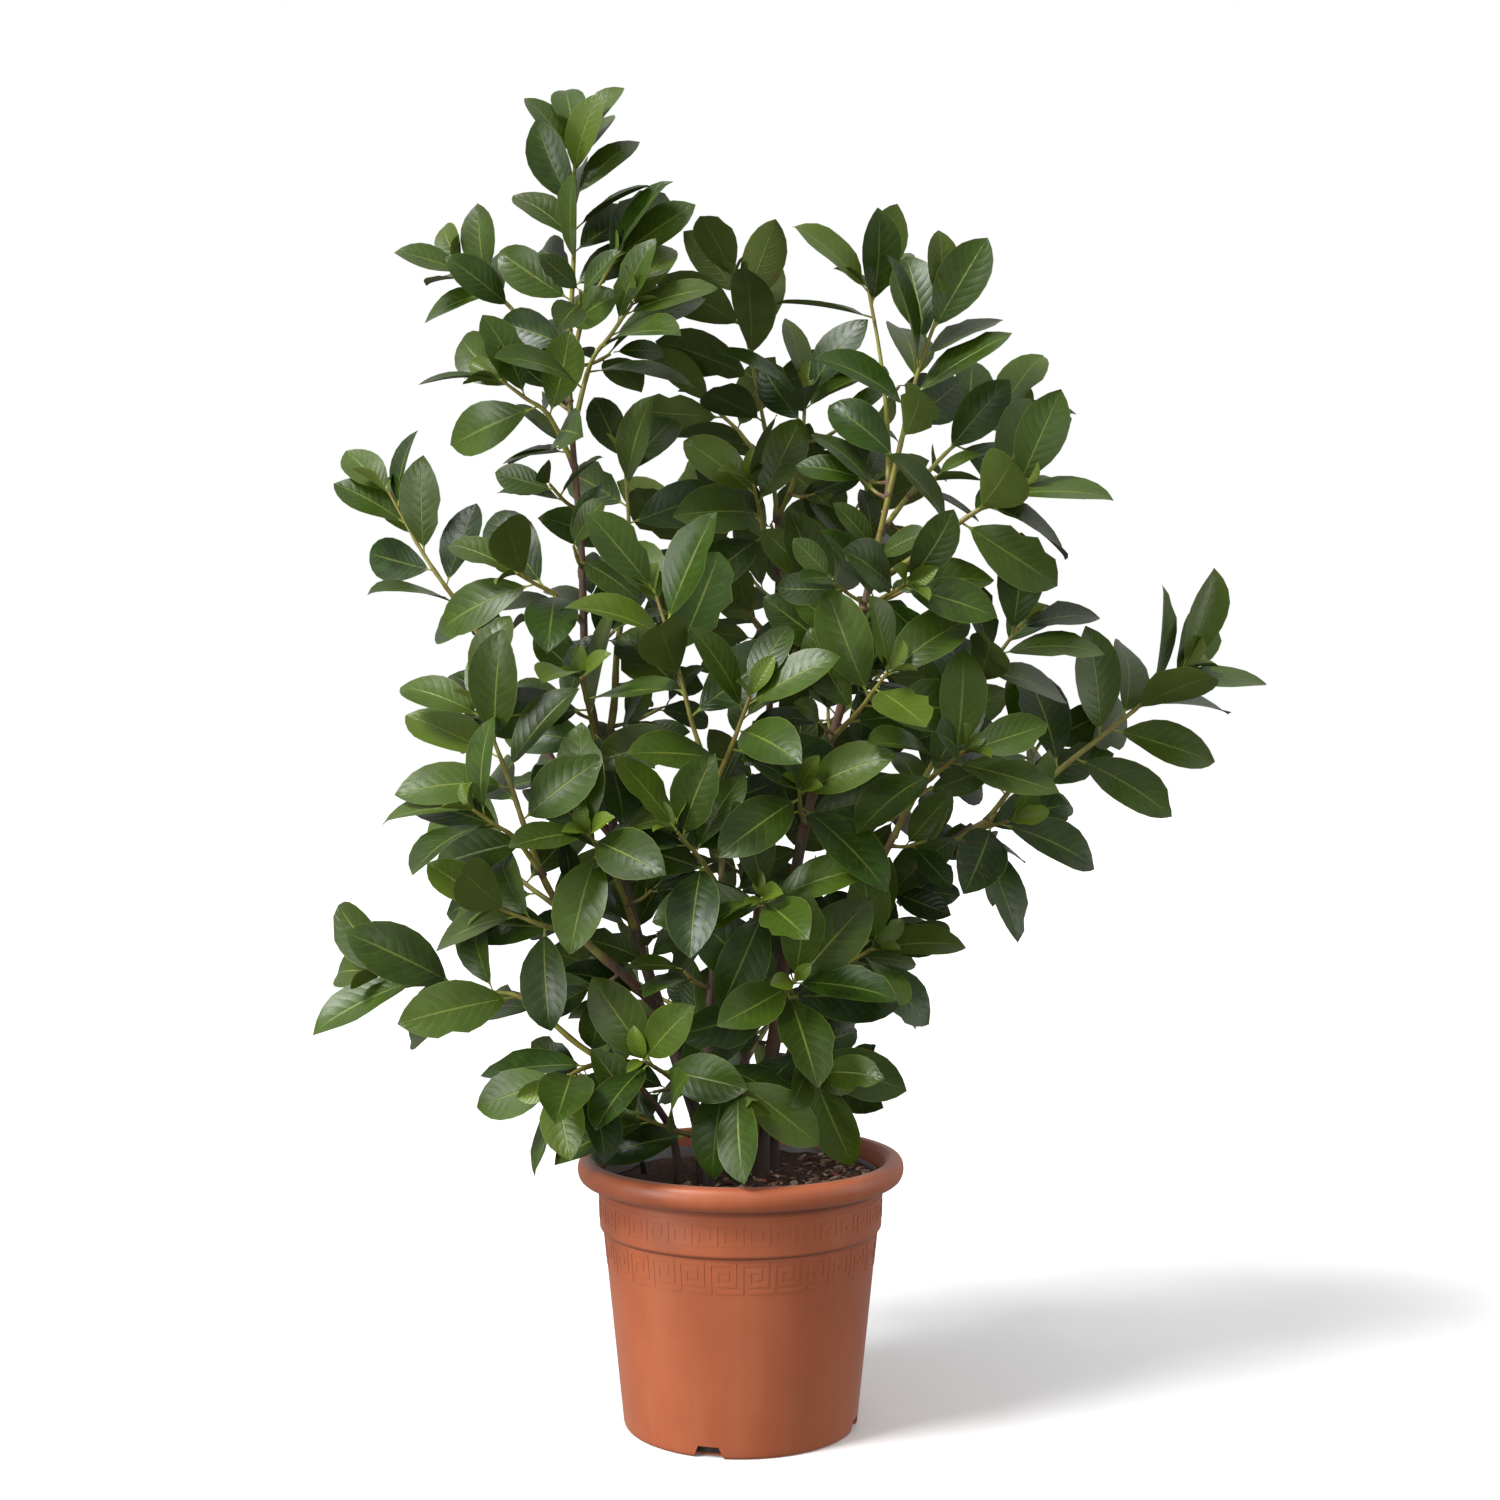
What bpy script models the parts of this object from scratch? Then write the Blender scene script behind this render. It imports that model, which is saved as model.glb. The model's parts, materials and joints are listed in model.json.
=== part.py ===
"""Potted cherry laurel: a shrub of several leafy stems in a round plastic container.

Metres, +Z up. The origin is the middle of the container's flat underside, and the front is at -Y.
"""

import math
import random
from dataclasses import dataclass

import bmesh
import bpy
from mathutils import Matrix, Vector
from mathutils.bvhtree import BVHTree

# Clearance between neighbouring solids
GAP = 0.0003

# Container
RIM_RADIUS = 0.175
RIM_TOP = 0.285
RIM_HEIGHT = 0.025
LIP_ROUND = 0.006
MOUTH_SLOPE = 0.0015
MOUTH_RADIUS = 0.1555
COLLAR_RADIUS = 0.1525
COLLAR_BOTTOM = 0.212
COLLAR_TAPER = 0.0013
STEP_HEIGHT = 0.004
BODY_TOP_RADIUS = 0.147
FOOT_RADIUS = 0.1255
FOOT_ROUND = 0.004
POT_WALL = 0.003
POT_SIDES = 32
SMOOTH_BELOW = math.radians(35)
NOTCHES = 4
FIRST_NOTCH_ANGLE = -105
NOTCH_WIDTH = 0.028
NOTCH_HEIGHT = 0.0085
NOTCH_DEPTH = 0.012
NOTCH_TOP_SHARE = 0.78
NOTCH_FOOT_SHARE = 1.08

# Grower's pot inside the container
GROWER_TOP = 0.268
GROWER_TOP_RADIUS = 0.1475
GROWER_FOOT_RADIUS = 0.117
GROWER_WALL = 0.0012

# Soil
SOIL_LEFT_HEIGHT = 0.254
SOIL_RIGHT_HEIGHT = 0.264
SOIL_BUMP = 0.003
SOIL_BUMPS_ACROSS = 37
SOIL_BUMPS_DEEP = 43
SOIL_RINGS = (0.6,)
HOLE_SIDES = 6
HOLE_CLEARANCE = 0.0005
STEM_DEPTH = 0.17

# Plant label
LABEL_WIDTH = 0.006
LABEL_THICKNESS = 0.001
LABEL_LENGTH = 0.135
LABEL_FOOT = (-0.094, 0.04, 0.2)
LABEL_LEAN = -12

# Stems
WOOD_SPACING = 0.075
SHOOT_SPACING = 0.04
CURVE_STEPS = 12
TIP_RADIUS = 0.0016
TAPER_POWER = 0.9
FORK_CLEARANCE = 0.022

# Leaves
RIB_THICKNESS = 0.0022
ROOT_SHARE = 0.7
WIDTH_SHARE = 0.46
WIDEST_ROW = 0.43
SHOULDER_ROW = 0.76
SHOULDER_SHARE = 0.82
FIRST_LEAF = 0.1
LEAFY_STRETCH = 0.88
LEAF_CROWDING = 0.85
TURN_BETWEEN_LEAVES = math.radians(137.5)
TURN_CHANCE = 0.2
SPREAD_LOW = math.radians(66)
SPREAD_TIP = math.radians(26)
SPREAD_CHANCE = 0.14
LEVEL_FLATTENING = 0.55
LEVEL_RISE = 0.12
DROOP_FADE = 0.8
SIZE_AT_FOOT = 0.9
SIZE_GAIN = 0.35
SIZE_LOSS_AT_TIP = 0.45
SIZE_CHANCE = (0.86, 1.0)
ARCH_CHANCE = (0.2, 0.75)
FOLD_CHANCE = (0.12, 0.32)
GUARD = 0.003
GUARD_START = -0.03
BLADE_START = 0.12
TRIES = 16
SHRINK_BY_LAST_TRY = 0.2

# Which way the blades face: up, and out of the nearer broad side of the shrub
MIDDLE_DEPTH = 0.13
FACING_SIDEWAYS = 0.6
FACING_FORWARD = 0.35
FACING_SHARE = 0.7
UPWARD_SHARE = 0.5
TWIST = 0.65
FLATTENING = 0.45

# Colours: linear red, green, blue, then roughness
TERRACOTTA = ((0.42, 0.13, 0.065), 0.5)
GREY_PLASTIC = ((0.05, 0.05, 0.05), 0.6)
SOIL_BROWN = ((0.035, 0.022, 0.015), 0.95)
LABEL_BLUE = ((0.02, 0.04, 0.09), 0.4)
BARK = ((0.11, 0.075, 0.055), 0.8)
LEAF_GREEN = ((0.028, 0.07, 0.014), 0.35)


@dataclass(frozen=True)
class Stem:
    """A stem, the route of its axis from its parent to its tip, and the leaves on its last stretch."""

    name: str
    wood: str
    parent: str
    radius: float
    route: tuple
    leafy: float
    leaves: int
    longest: float
    turn: float
    droop: float


STEMS = (
    Stem("left_leader", "wood_left", "", 0.0085, (
        (-0.038, -0.008, STEM_DEPTH), (-0.042, -0.008, 0.3), (-0.087, 0.02, 0.435), (-0.115, 0.03, 0.525),
        (-0.135, 0.04, 0.61), (-0.152, 0.05, 0.7), (-0.17, 0.048, 0.8), (-0.175, 0.035, 0.95),
        (-0.185, 0.03, 1.07), (-0.187, 0.024, 1.16), (-0.182, 0.018, 1.24), (-0.18, 0.015, 1.33),
        (-0.181, 0.015, 1.39)), 0.28, 19, 0.11, 1.2, 0.1),
    Stem("centre_leader", "wood_centre", "", 0.0062, (
        (-0.031, -0.045, STEM_DEPTH), (-0.034, -0.045, 0.3), (-0.035, -0.055, 0.4), (-0.03, -0.058, 0.48),
        (-0.02, -0.065, 0.575), (-0.024, -0.072, 0.66), (-0.045, -0.08, 0.73), (-0.06, -0.088, 0.79),
        (-0.074, -0.095, 0.84), (-0.088, -0.1, 0.885)), 0.15, 9, 0.14, 2.0, 0.1),
    Stem("right_leader", "wood_right", "", 0.0095, (
        (0.021, 0.0, STEM_DEPTH), (0.023, 0.0, 0.3), (0.033, -0.012, 0.39), (0.046, -0.025, 0.49),
        (0.055, -0.03, 0.57), (0.075, -0.03, 0.67), (0.105, -0.03, 0.76), (0.126, -0.03, 0.85),
        (0.148, -0.03, 0.95), (0.171, -0.03, 1.05), (0.188, -0.03, 1.12), (0.212, -0.03, 1.19)),
        0.18, 12, 0.13, 1.0, 0.1),
    Stem("far_right_leader", "wood_far_right", "", 0.0085, (
        (0.034, 0.043, STEM_DEPTH), (0.036, 0.042, 0.3), (0.06, 0.022, 0.405), (0.088, 0.01, 0.47),
        (0.116, 0.0, 0.532), (0.165, -0.01, 0.63), (0.191, -0.015, 0.68), (0.223, -0.02, 0.738),
        (0.252, -0.02, 0.79), (0.28, -0.02, 0.83), (0.303, -0.02, 0.86)), 0.15, 9, 0.13, 0.6, 0.25),
    Stem("back_leader", "wood_back", "", 0.0075, (
        (-0.004, 0.06, STEM_DEPTH), (-0.003, 0.062, 0.3), (0.004, 0.095, 0.37), (0.012, 0.125, 0.46),
        (0.022, 0.15, 0.57), (0.027, 0.16, 0.68), (0.034, 0.17, 0.79), (0.042, 0.17, 0.9),
        (0.04, 0.17, 1.01), (0.024, 0.166, 1.11), (0.006, 0.162, 1.2), (-0.008, 0.155, 1.265)),
        0.16, 9, 0.13, 2.6, 0.1),
    Stem("low_left_leader", "wood_low_left", "", 0.0055, (
        (-0.068, -0.018, STEM_DEPTH), (-0.07, -0.022, 0.3), (-0.085, -0.045, 0.352), (-0.126, -0.06, 0.38),
        (-0.157, -0.07, 0.4), (-0.183, -0.08, 0.433), (-0.215, -0.085, 0.46), (-0.27, -0.085, 0.47),
        (-0.325, -0.085, 0.485), (-0.37, -0.085, 0.49)), 0.19, 9, 0.13, 0.3, 0.1),
    Stem("low_twig", "wood_centre", "centre_leader", 0.0035, (
        (-0.034, -0.046, 0.31), (-0.05, -0.075, 0.318), (-0.078, -0.098, 0.335), (-0.105, -0.105, 0.345)),
        0.06, 5, 0.12, 1.2, 0.0),
    Stem("second_arm", "wood_left", "left_leader", 0.005, (
        (-0.152, 0.05, 0.7), (-0.14, 0.06, 0.74), (-0.143, 0.075, 0.8), (-0.128, 0.082, 0.9),
        (-0.126, 0.085, 0.99), (-0.13, 0.085, 1.045)), 0.14, 6, 0.125, 2.2, 0.25),
    Stem("upper_left_arm", "wood_left", "left_leader", 0.005, (
        (-0.137, 0.04, 0.62), (-0.185, 0.07, 0.676), (-0.236, 0.08, 0.749), (-0.276, 0.09, 0.822),
        (-0.313, 0.09, 0.878), (-0.35, 0.09, 0.93), (-0.395, 0.09, 1.01)), 0.22, 9, 0.12, 0.2, 0.1),
    Stem("left_arc", "wood_left", "left_leader", 0.0058, (
        (-0.087, 0.02, 0.438), (-0.108, -0.012, 0.469), (-0.141, -0.04, 0.493), (-0.189, -0.06, 0.555),
        (-0.21, -0.072, 0.6), (-0.228, -0.085, 0.655), (-0.248, -0.09, 0.715), (-0.272, -0.09, 0.77)),
        0.16, 10, 0.135, 1.5, 0.3),
    Stem("top_left_side", "wood_left", "left_leader", 0.0034, (
        (-0.187, 0.03, 1.1), (-0.215, 0.045, 1.16), (-0.26, 0.055, 1.215), (-0.31, 0.065, 1.255)),
        0.13, 8, 0.105, 0.8, 0.1),
    Stem("top_right_side", "wood_left", "left_leader", 0.0034, (
        (-0.184, 0.03, 1.065), (-0.168, 0.0, 1.12), (-0.144, -0.015, 1.165), (-0.115, -0.028, 1.195)),
        0.11, 8, 0.13, 2.4, 0.1),
    Stem("leader_left_low", "wood_left", "left_leader", 0.0034, (
        (-0.172, 0.045, 0.86), (-0.203, 0.012, 0.89), (-0.24, -0.01, 0.91)), 0.06, 6, 0.13, 0.5, 0.25),
    Stem("leader_right_high", "wood_left", "left_leader", 0.0034, (
        (-0.187, 0.025, 1.15), (-0.166, 0.008, 1.205), (-0.135, -0.002, 1.25)), 0.07, 5, 0.14, 1.4, 0.1),
    Stem("leader_left_high", "wood_left", "left_leader", 0.0034, (
        (-0.183, 0.03, 1.03), (-0.21, 0.0, 1.085), (-0.255, -0.02, 1.115)), 0.07, 6, 0.12, 2.9, 0.1),
    Stem("leader_front", "wood_left", "left_leader", 0.0036, (
        (-0.152, 0.05, 0.69), (-0.156, -0.01, 0.735), (-0.16, -0.06, 0.77), (-0.165, -0.09, 0.795)),
        0.09, 7, 0.14, 0.9, 0.3),
    Stem("leader_low_front", "wood_left", "left_leader", 0.0036, (
        (-0.114, 0.03, 0.52), (-0.129, -0.02, 0.577), (-0.145, -0.07, 0.61), (-0.155, -0.105, 0.635)),
        0.09, 7, 0.135, 2.1, 0.35),
    Stem("leader_foot_front", "wood_left", "left_leader", 0.0032, (
        (-0.06, 0.002, 0.355), (-0.075, -0.045, 0.375), (-0.088, -0.085, 0.395), (-0.098, -0.12, 0.405)),
        0.07, 6, 0.13, 1.0, 0.55),
    Stem("arc_low", "wood_left", "left_arc", 0.0034, (
        (-0.165, -0.05, 0.525), (-0.192, -0.085, 0.535), (-0.226, -0.105, 0.55), (-0.25, -0.115, 0.56)),
        0.07, 6, 0.125, 0.1, 0.3),
    Stem("arc_middle", "wood_left", "left_arc", 0.0034, (
        (-0.206, -0.07, 0.595), (-0.226, -0.1, 0.625), (-0.25, -0.12, 0.645), (-0.27, -0.13, 0.66)),
        0.07, 6, 0.13, 1.8, 0.25),
    Stem("arc_back", "wood_left", "left_arc", 0.0034, (
        (-0.185, -0.058, 0.55), (-0.225, 0.0, 0.57), (-0.26, 0.045, 0.6), (-0.285, 0.07, 0.62)),
        0.09, 6, 0.13, 2.7, 0.2),
    Stem("centre_twig", "wood_centre", "centre_leader", 0.003, (
        (-0.02, -0.065, 0.575), (-0.036, -0.1, 0.602), (-0.051, -0.12, 0.624), (-0.065, -0.135, 0.64)),
        0.06, 6, 0.13, 0.6, 0.35),
    Stem("centre_side", "wood_centre", "centre_leader", 0.0032, (
        (-0.027, -0.073, 0.68), (-0.011, -0.1, 0.72), (0.003, -0.12, 0.752), (0.01, -0.13, 0.775)),
        0.07, 8, 0.13, 2.3, 0.3),
    Stem("centre_low", "wood_centre", "centre_leader", 0.003, (
        (-0.036, -0.052, 0.385), (-0.02, -0.09, 0.4), (-0.003, -0.115, 0.392), (0.004, -0.122, 0.37)),
        0.06, 6, 0.12, 0.2, 0.6),
    Stem("right_top_twig", "wood_right", "right_leader", 0.0032, (
        (0.158, -0.03, 0.99), (0.157, 0.0, 1.09), (0.149, 0.012, 1.16), (0.138, 0.02, 1.225)),
        0.07, 5, 0.125, 1.1, 0.05),
    Stem("right_high_side", "wood_right", "right_leader", 0.0034, (
        (0.148, -0.03, 0.95), (0.185, 0.01, 1.0), (0.235, 0.033, 1.055), (0.29, 0.045, 1.085)),
        0.11, 8, 0.125, 0.3, 0.15),
    Stem("right_side", "wood_right", "right_leader", 0.0042, (
        (0.135, -0.03, 0.893), (0.161, -0.05, 0.905), (0.184, -0.062, 0.924), (0.203, -0.07, 0.945),
        (0.25, -0.08, 0.97), (0.295, -0.085, 0.995)), 0.13, 10, 0.135, 1.9, 0.25),
    Stem("right_front", "wood_right", "right_leader", 0.0034, (
        (0.068, -0.03, 0.64), (0.062, -0.08, 0.66), (0.06, -0.12, 0.68)), 0.06, 7, 0.135, 0.7, 0.5),
    Stem("right_low_front", "wood_right", "right_leader", 0.0032, (
        (0.051, -0.027, 0.53), (0.035, -0.08, 0.55), (0.022, -0.12, 0.57)), 0.05, 7, 0.13, 2.2, 0.5),
    Stem("right_rosette", "wood_right", "right_leader", 0.0032, (
        (0.04, -0.02, 0.44), (0.046, -0.08, 0.466), (0.055, -0.125, 0.487)), 0.06, 9, 0.14, 1.6, 0.35),
    Stem("right_inner", "wood_right", "right_leader", 0.0034, (
        (0.113, -0.03, 0.789), (0.108, 0.02, 0.829), (0.096, 0.05, 0.87), (0.086, 0.065, 0.905)),
        0.09, 6, 0.13, 2.5, 0.2),
    Stem("right_inner_front", "wood_right", "right_leader", 0.0034, (
        (0.096, -0.03, 0.731), (0.119, -0.08, 0.757), (0.14, -0.11, 0.78), (0.15, -0.125, 0.8)),
        0.07, 7, 0.135, 0.4, 0.35),
    Stem("right_middle", "wood_right", "right_leader", 0.0034, (
        (0.13, -0.03, 0.87), (0.15, -0.075, 0.88), (0.17, -0.11, 0.89)), 0.05, 6, 0.12, 2.0, 0.3),
    Stem("far_right_front", "wood_far_right", "far_right_leader", 0.0034, (
        (0.191, -0.015, 0.68), (0.204, -0.06, 0.695), (0.218, -0.09, 0.71), (0.23, -0.105, 0.72)),
        0.07, 8, 0.13, 1.3, 0.35),
    Stem("far_right_low", "wood_far_right", "far_right_leader", 0.0034, (
        (0.088, 0.01, 0.47), (0.108, -0.03, 0.49), (0.126, -0.055, 0.505), (0.14, -0.07, 0.515)),
        0.07, 7, 0.13, 0.0, 0.45),
    Stem("far_right_foot", "wood_far_right", "far_right_leader", 0.0032, (
        (0.05, 0.03, 0.375), (0.063, -0.02, 0.4), (0.072, -0.06, 0.4), (0.078, -0.085, 0.385)),
        0.07, 6, 0.12, 1.7, 0.6),
    Stem("far_right_back", "wood_far_right", "far_right_leader", 0.0034, (
        (0.165, -0.01, 0.628), (0.192, 0.05, 0.67), (0.215, 0.095, 0.715), (0.23, 0.12, 0.755)),
        0.09, 6, 0.125, 2.8, 0.2),
    Stem("right_arm", "wood_far_right", "far_right_leader", 0.0062, (
        (0.116, 0.0, 0.532), (0.147, 0.022, 0.563), (0.189, 0.04, 0.598), (0.243, 0.052, 0.626),
        (0.298, 0.06, 0.656), (0.341, 0.062, 0.687), (0.37, 0.06, 0.713), (0.41, 0.055, 0.745),
        (0.45, 0.05, 0.778), (0.488, 0.045, 0.812)), 0.18, 12, 0.145, 1.4, 0.15),
    Stem("right_arm_hanging", "wood_far_right", "right_arm", 0.0034, (
        (0.225, 0.05, 0.618), (0.25, 0.012, 0.632), (0.272, -0.015, 0.64), (0.285, -0.025, 0.645)),
        0.06, 6, 0.135, 2.2, 0.8),
    Stem("right_arm_side", "wood_far_right", "right_arm", 0.0034, (
        (0.27, 0.056, 0.642), (0.3, 0.085, 0.675), (0.33, 0.1, 0.71), (0.345, 0.108, 0.74)),
        0.08, 6, 0.12, 1.2, 0.2),
    Stem("low_left_side", "wood_low_left", "low_left_leader", 0.0032, (
        (-0.145, -0.066, 0.392), (-0.163, -0.1, 0.393), (-0.183, -0.125, 0.385)), 0.045, 6, 0.13, 2.9, 0.3),
    Stem("back_high_side", "wood_back", "back_leader", 0.0034, (
        (0.041, 0.17, 0.985), (0.062, 0.135, 1.03), (0.07, 0.115, 1.08), (0.073, 0.105, 1.125)),
        0.08, 6, 0.125, 0.8, 0.15),
    Stem("back_front_side", "wood_back", "back_leader", 0.0034, (
        (0.042, 0.17, 0.93), (0.028, 0.12, 0.96), (0.02, 0.08, 0.99), (0.014, 0.062, 1.015)),
        0.09, 7, 0.13, 1.7, 0.2),
    Stem("back_left_side", "wood_back", "back_leader", 0.0034, (
        (0.035, 0.17, 1.04), (0.0, 0.188, 1.09), (-0.032, 0.198, 1.12), (-0.05, 0.2, 1.14)),
        0.08, 5, 0.12, 2.9, 0.15),
    Stem("back_low_left", "wood_back", "back_leader", 0.0044, (
        (0.012, 0.125, 0.46), (-0.043, 0.19, 0.533), (-0.104, 0.245, 0.595), (-0.15, 0.28, 0.65)),
        0.15, 7, 0.135, 0.2, 0.25),
    Stem("back_low_right", "wood_back", "back_leader", 0.0044, (
        (0.027, 0.16, 0.686), (0.093, 0.22, 0.744), (0.149, 0.265, 0.79), (0.185, 0.29, 0.83)),
        0.13, 7, 0.135, 1.3, 0.25),
    Stem("back_skirt_right", "wood_back", "back_leader", 0.0038, (
        (0.004, 0.095, 0.37), (0.03, 0.165, 0.4), (0.055, 0.22, 0.435), (0.075, 0.26, 0.46)),
        0.1, 6, 0.135, 0.9, 0.4),
    Stem("back_skirt_left", "wood_back", "back_leader", 0.0038, (
        (0.007, 0.105, 0.395), (-0.048, 0.165, 0.41), (-0.1, 0.21, 0.43), (-0.135, 0.24, 0.45)),
        0.1, 6, 0.135, 2.4, 0.4),
    Stem("back_upper_left", "wood_back", "back_leader", 0.0042, (
        (0.038, 0.17, 0.84), (-0.008, 0.225, 0.905), (-0.048, 0.26, 0.96), (-0.07, 0.28, 1.0)),
        0.13, 6, 0.13, 1.6, 0.2),
    Stem("back_upper_right", "wood_back", "back_leader", 0.0042, (
        (0.042, 0.17, 0.88), (0.093, 0.22, 0.945), (0.128, 0.248, 0.995), (0.15, 0.262, 1.03)),
        0.13, 6, 0.13, 2.6, 0.2),
)


@dataclass(frozen=True)
class Leaf:
    """A leaf on its stalk: its root, the way it points, its upper side and its size and curve."""

    root: Vector
    direction: Vector
    normal: Vector
    length: float
    arch: float
    fold: float

    def point(self, t, across, lift):
        """The point at the share t of the length, this far to the side of the midrib and above it."""
        bent = self.arch * t
        heading = self.length / self.arch
        along = self.direction * math.sin(bent) * heading
        down = self.normal * (1 - math.cos(bent)) * heading
        upper = self.normal * math.cos(bent) + self.direction * math.sin(bent)
        side = self.direction.cross(self.normal)
        return self.root + along - down + side * across + upper * (lift + abs(across) * math.tan(self.fold))


def clear_scene():
    """Removes whatever the file opened with."""
    for obj in list(bpy.data.objects):
        bpy.data.objects.remove(obj, do_unlink=True)


def material(name, finish):
    """A plain Principled material from a colour and a roughness."""
    colour, roughness = finish
    made = bpy.data.materials.new(name)
    made.use_nodes = True
    shader = made.node_tree.nodes["Principled BSDF"]
    shader.inputs["Base Color"].default_value = (*colour, 1.0)
    shader.inputs["Roughness"].default_value = roughness
    shader.inputs["Metallic"].default_value = 0.0
    return made


def add_mesh_object(name, bm, collection, finish=None):
    """Turns a bmesh into an object of the collection."""
    mesh = bpy.data.meshes.new(name)
    bm.to_mesh(mesh)
    bm.free()
    obj = bpy.data.objects.new(name, mesh)
    collection.objects.link(obj)
    if finish is not None:
        mesh.materials.append(finish)
    return obj


def evaluated_mesh(obj):
    """A new mesh with the object's modifiers or bevel applied."""
    graph = bpy.context.evaluated_depsgraph_get()
    return bpy.data.meshes.new_from_object(obj.evaluated_get(graph))


def apply_modifiers(obj):
    """Bakes the object's modifiers into its mesh."""
    finishes = list(obj.data.materials)
    mesh = evaluated_mesh(obj)
    obj.modifiers.clear()
    old = obj.data
    obj.data = mesh
    bpy.data.meshes.remove(old)
    mesh.materials.clear()
    for finish in finishes[:1]:
        mesh.materials.append(finish)


def remove_object(obj):
    """Removes an object together with its mesh or curve."""
    data = obj.data
    bpy.data.objects.remove(obj, do_unlink=True)
    if isinstance(data, bpy.types.Mesh):
        bpy.data.meshes.remove(data)
    else:
        bpy.data.curves.remove(data)


def union(obj, pieces):
    """Joins the pieces to the object as one solid and removes them."""
    if not pieces:
        return
    group = bpy.data.collections.new("pieces of " + obj.name)
    bpy.context.scene.collection.children.link(group)
    for piece in pieces:
        for owner in list(piece.users_collection):
            owner.objects.unlink(piece)
        group.objects.link(piece)
    modifier = obj.modifiers.new("Union", "BOOLEAN")
    modifier.operation = "UNION"
    modifier.operand_type = "COLLECTION"
    modifier.collection = group
    modifier.solver = "MANIFOLD"
    apply_modifiers(obj)
    for piece in pieces:
        remove_object(piece)
    bpy.data.collections.remove(group)


def cut(obj, cutters):
    """Cuts each cutter out of the object and removes the cutters."""
    for cutter in cutters:
        cutter.hide_render = True
        cutter.display_type = "WIRE"
        modifier = obj.modifiers.new("Cut", "BOOLEAN")
        modifier.operation = "DIFFERENCE"
        modifier.object = cutter
        modifier.solver = "EXACT"
    apply_modifiers(obj)
    for cutter in cutters:
        remove_object(cutter)


def turned(name, profile, sides, collection, finish):
    """A solid turned about Z from a profile of (radius, height) that starts and ends on the axis."""
    bm = bmesh.new()
    corners = [bm.verts.new((radius, 0.0, height)) for radius, height in profile]
    for first, second in zip(corners, corners[1:]):
        bm.edges.new((first, second))
    obj = add_mesh_object(name, bm, collection, finish)
    screw = obj.modifiers.new("Turn", "SCREW")
    screw.steps = sides
    screw.render_steps = sides
    screw.use_merge_vertices = True
    screw.merge_threshold = 0.0001
    apply_modifiers(obj)
    obj.data.shade_smooth()
    obj.data.set_sharp_from_angle(angle=SMOOTH_BELOW)
    return obj


def build_pot(collection, cutting):
    """The outer container: rolled rim, collar, tapered body, flat floor and drainage notches."""
    roll = RIM_HEIGHT / 2
    middle = RIM_TOP - roll
    profile = [
        (0.0, POT_WALL),
        (FOOT_RADIUS - POT_WALL, POT_WALL),
        (BODY_TOP_RADIUS - POT_WALL, COLLAR_BOTTOM - STEP_HEIGHT),
        (COLLAR_RADIUS - POT_WALL, COLLAR_BOTTOM + STEP_HEIGHT),
        (COLLAR_RADIUS - POT_WALL + MOUTH_SLOPE, RIM_TOP - RIM_HEIGHT),
        (MOUTH_RADIUS, RIM_TOP - LIP_ROUND),
        (MOUTH_RADIUS + LIP_ROUND, RIM_TOP),
        (RIM_RADIUS - LIP_ROUND, RIM_TOP - LIP_ROUND / 6),
        (RIM_RADIUS - LIP_ROUND / 5, middle + roll * 0.4),
        (RIM_RADIUS, middle),
        (RIM_RADIUS - LIP_ROUND / 2, middle - roll * 0.64),
        (RIM_RADIUS - 1.7 * LIP_ROUND, middle - roll),
        (COLLAR_RADIUS, RIM_TOP - RIM_HEIGHT - LIP_ROUND / 6),
        (COLLAR_RADIUS - COLLAR_TAPER, COLLAR_BOTTOM),
        (BODY_TOP_RADIUS, COLLAR_BOTTOM - STEP_HEIGHT),
        (FOOT_RADIUS, FOOT_ROUND),
        (FOOT_RADIUS - FOOT_ROUND, 0.0),
        (0.0, 0.0),
    ]
    pot = turned("pot", profile, POT_SIDES, collection, material("terracotta plastic", TERRACOTTA))
    cutters = []
    for index in range(NOTCHES):
        angle = math.radians(FIRST_NOTCH_ANGLE + index * 360 / NOTCHES)
        bm = bmesh.new()
        bmesh.ops.create_cube(bm, size=1.0)
        for corner in bm.verts:
            top = corner.co.z > 0
            corner.co.x = FOOT_RADIUS - NOTCH_DEPTH / 2 + corner.co.x * NOTCH_DEPTH * 1.5
            corner.co.y *= NOTCH_WIDTH * (NOTCH_TOP_SHARE if top else NOTCH_FOOT_SHARE)
            corner.co.z = NOTCH_HEIGHT if top else -NOTCH_HEIGHT
        bmesh.ops.rotate(bm, verts=bm.verts, matrix=Matrix.Rotation(angle, 3, "Z"))
        cutters.append(add_mesh_object(f"notch {index}", bm, cutting))
    cut(pot, cutters)
    return pot


def grower_radius(height):
    """Outer radius of the grower's pot at this height."""
    share = (height - POT_WALL) / (GROWER_TOP - POT_WALL)
    return GROWER_FOOT_RADIUS + (GROWER_TOP_RADIUS - GROWER_FOOT_RADIUS) * share


def build_grower_pot(collection):
    """The thin pot that stands inside the container and shows its top edge."""
    floor = POT_WALL + GAP
    profile = [
        (0.0, floor + GROWER_WALL),
        (grower_radius(floor) - GROWER_WALL, floor + GROWER_WALL),
        (GROWER_TOP_RADIUS - GROWER_WALL, GROWER_TOP),
        (GROWER_TOP_RADIUS, GROWER_TOP),
        (grower_radius(floor), floor),
        (0.0, floor),
    ]
    return turned("grower_pot", profile, POT_SIDES, collection, material("grey plastic", GREY_PLASTIC))


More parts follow.
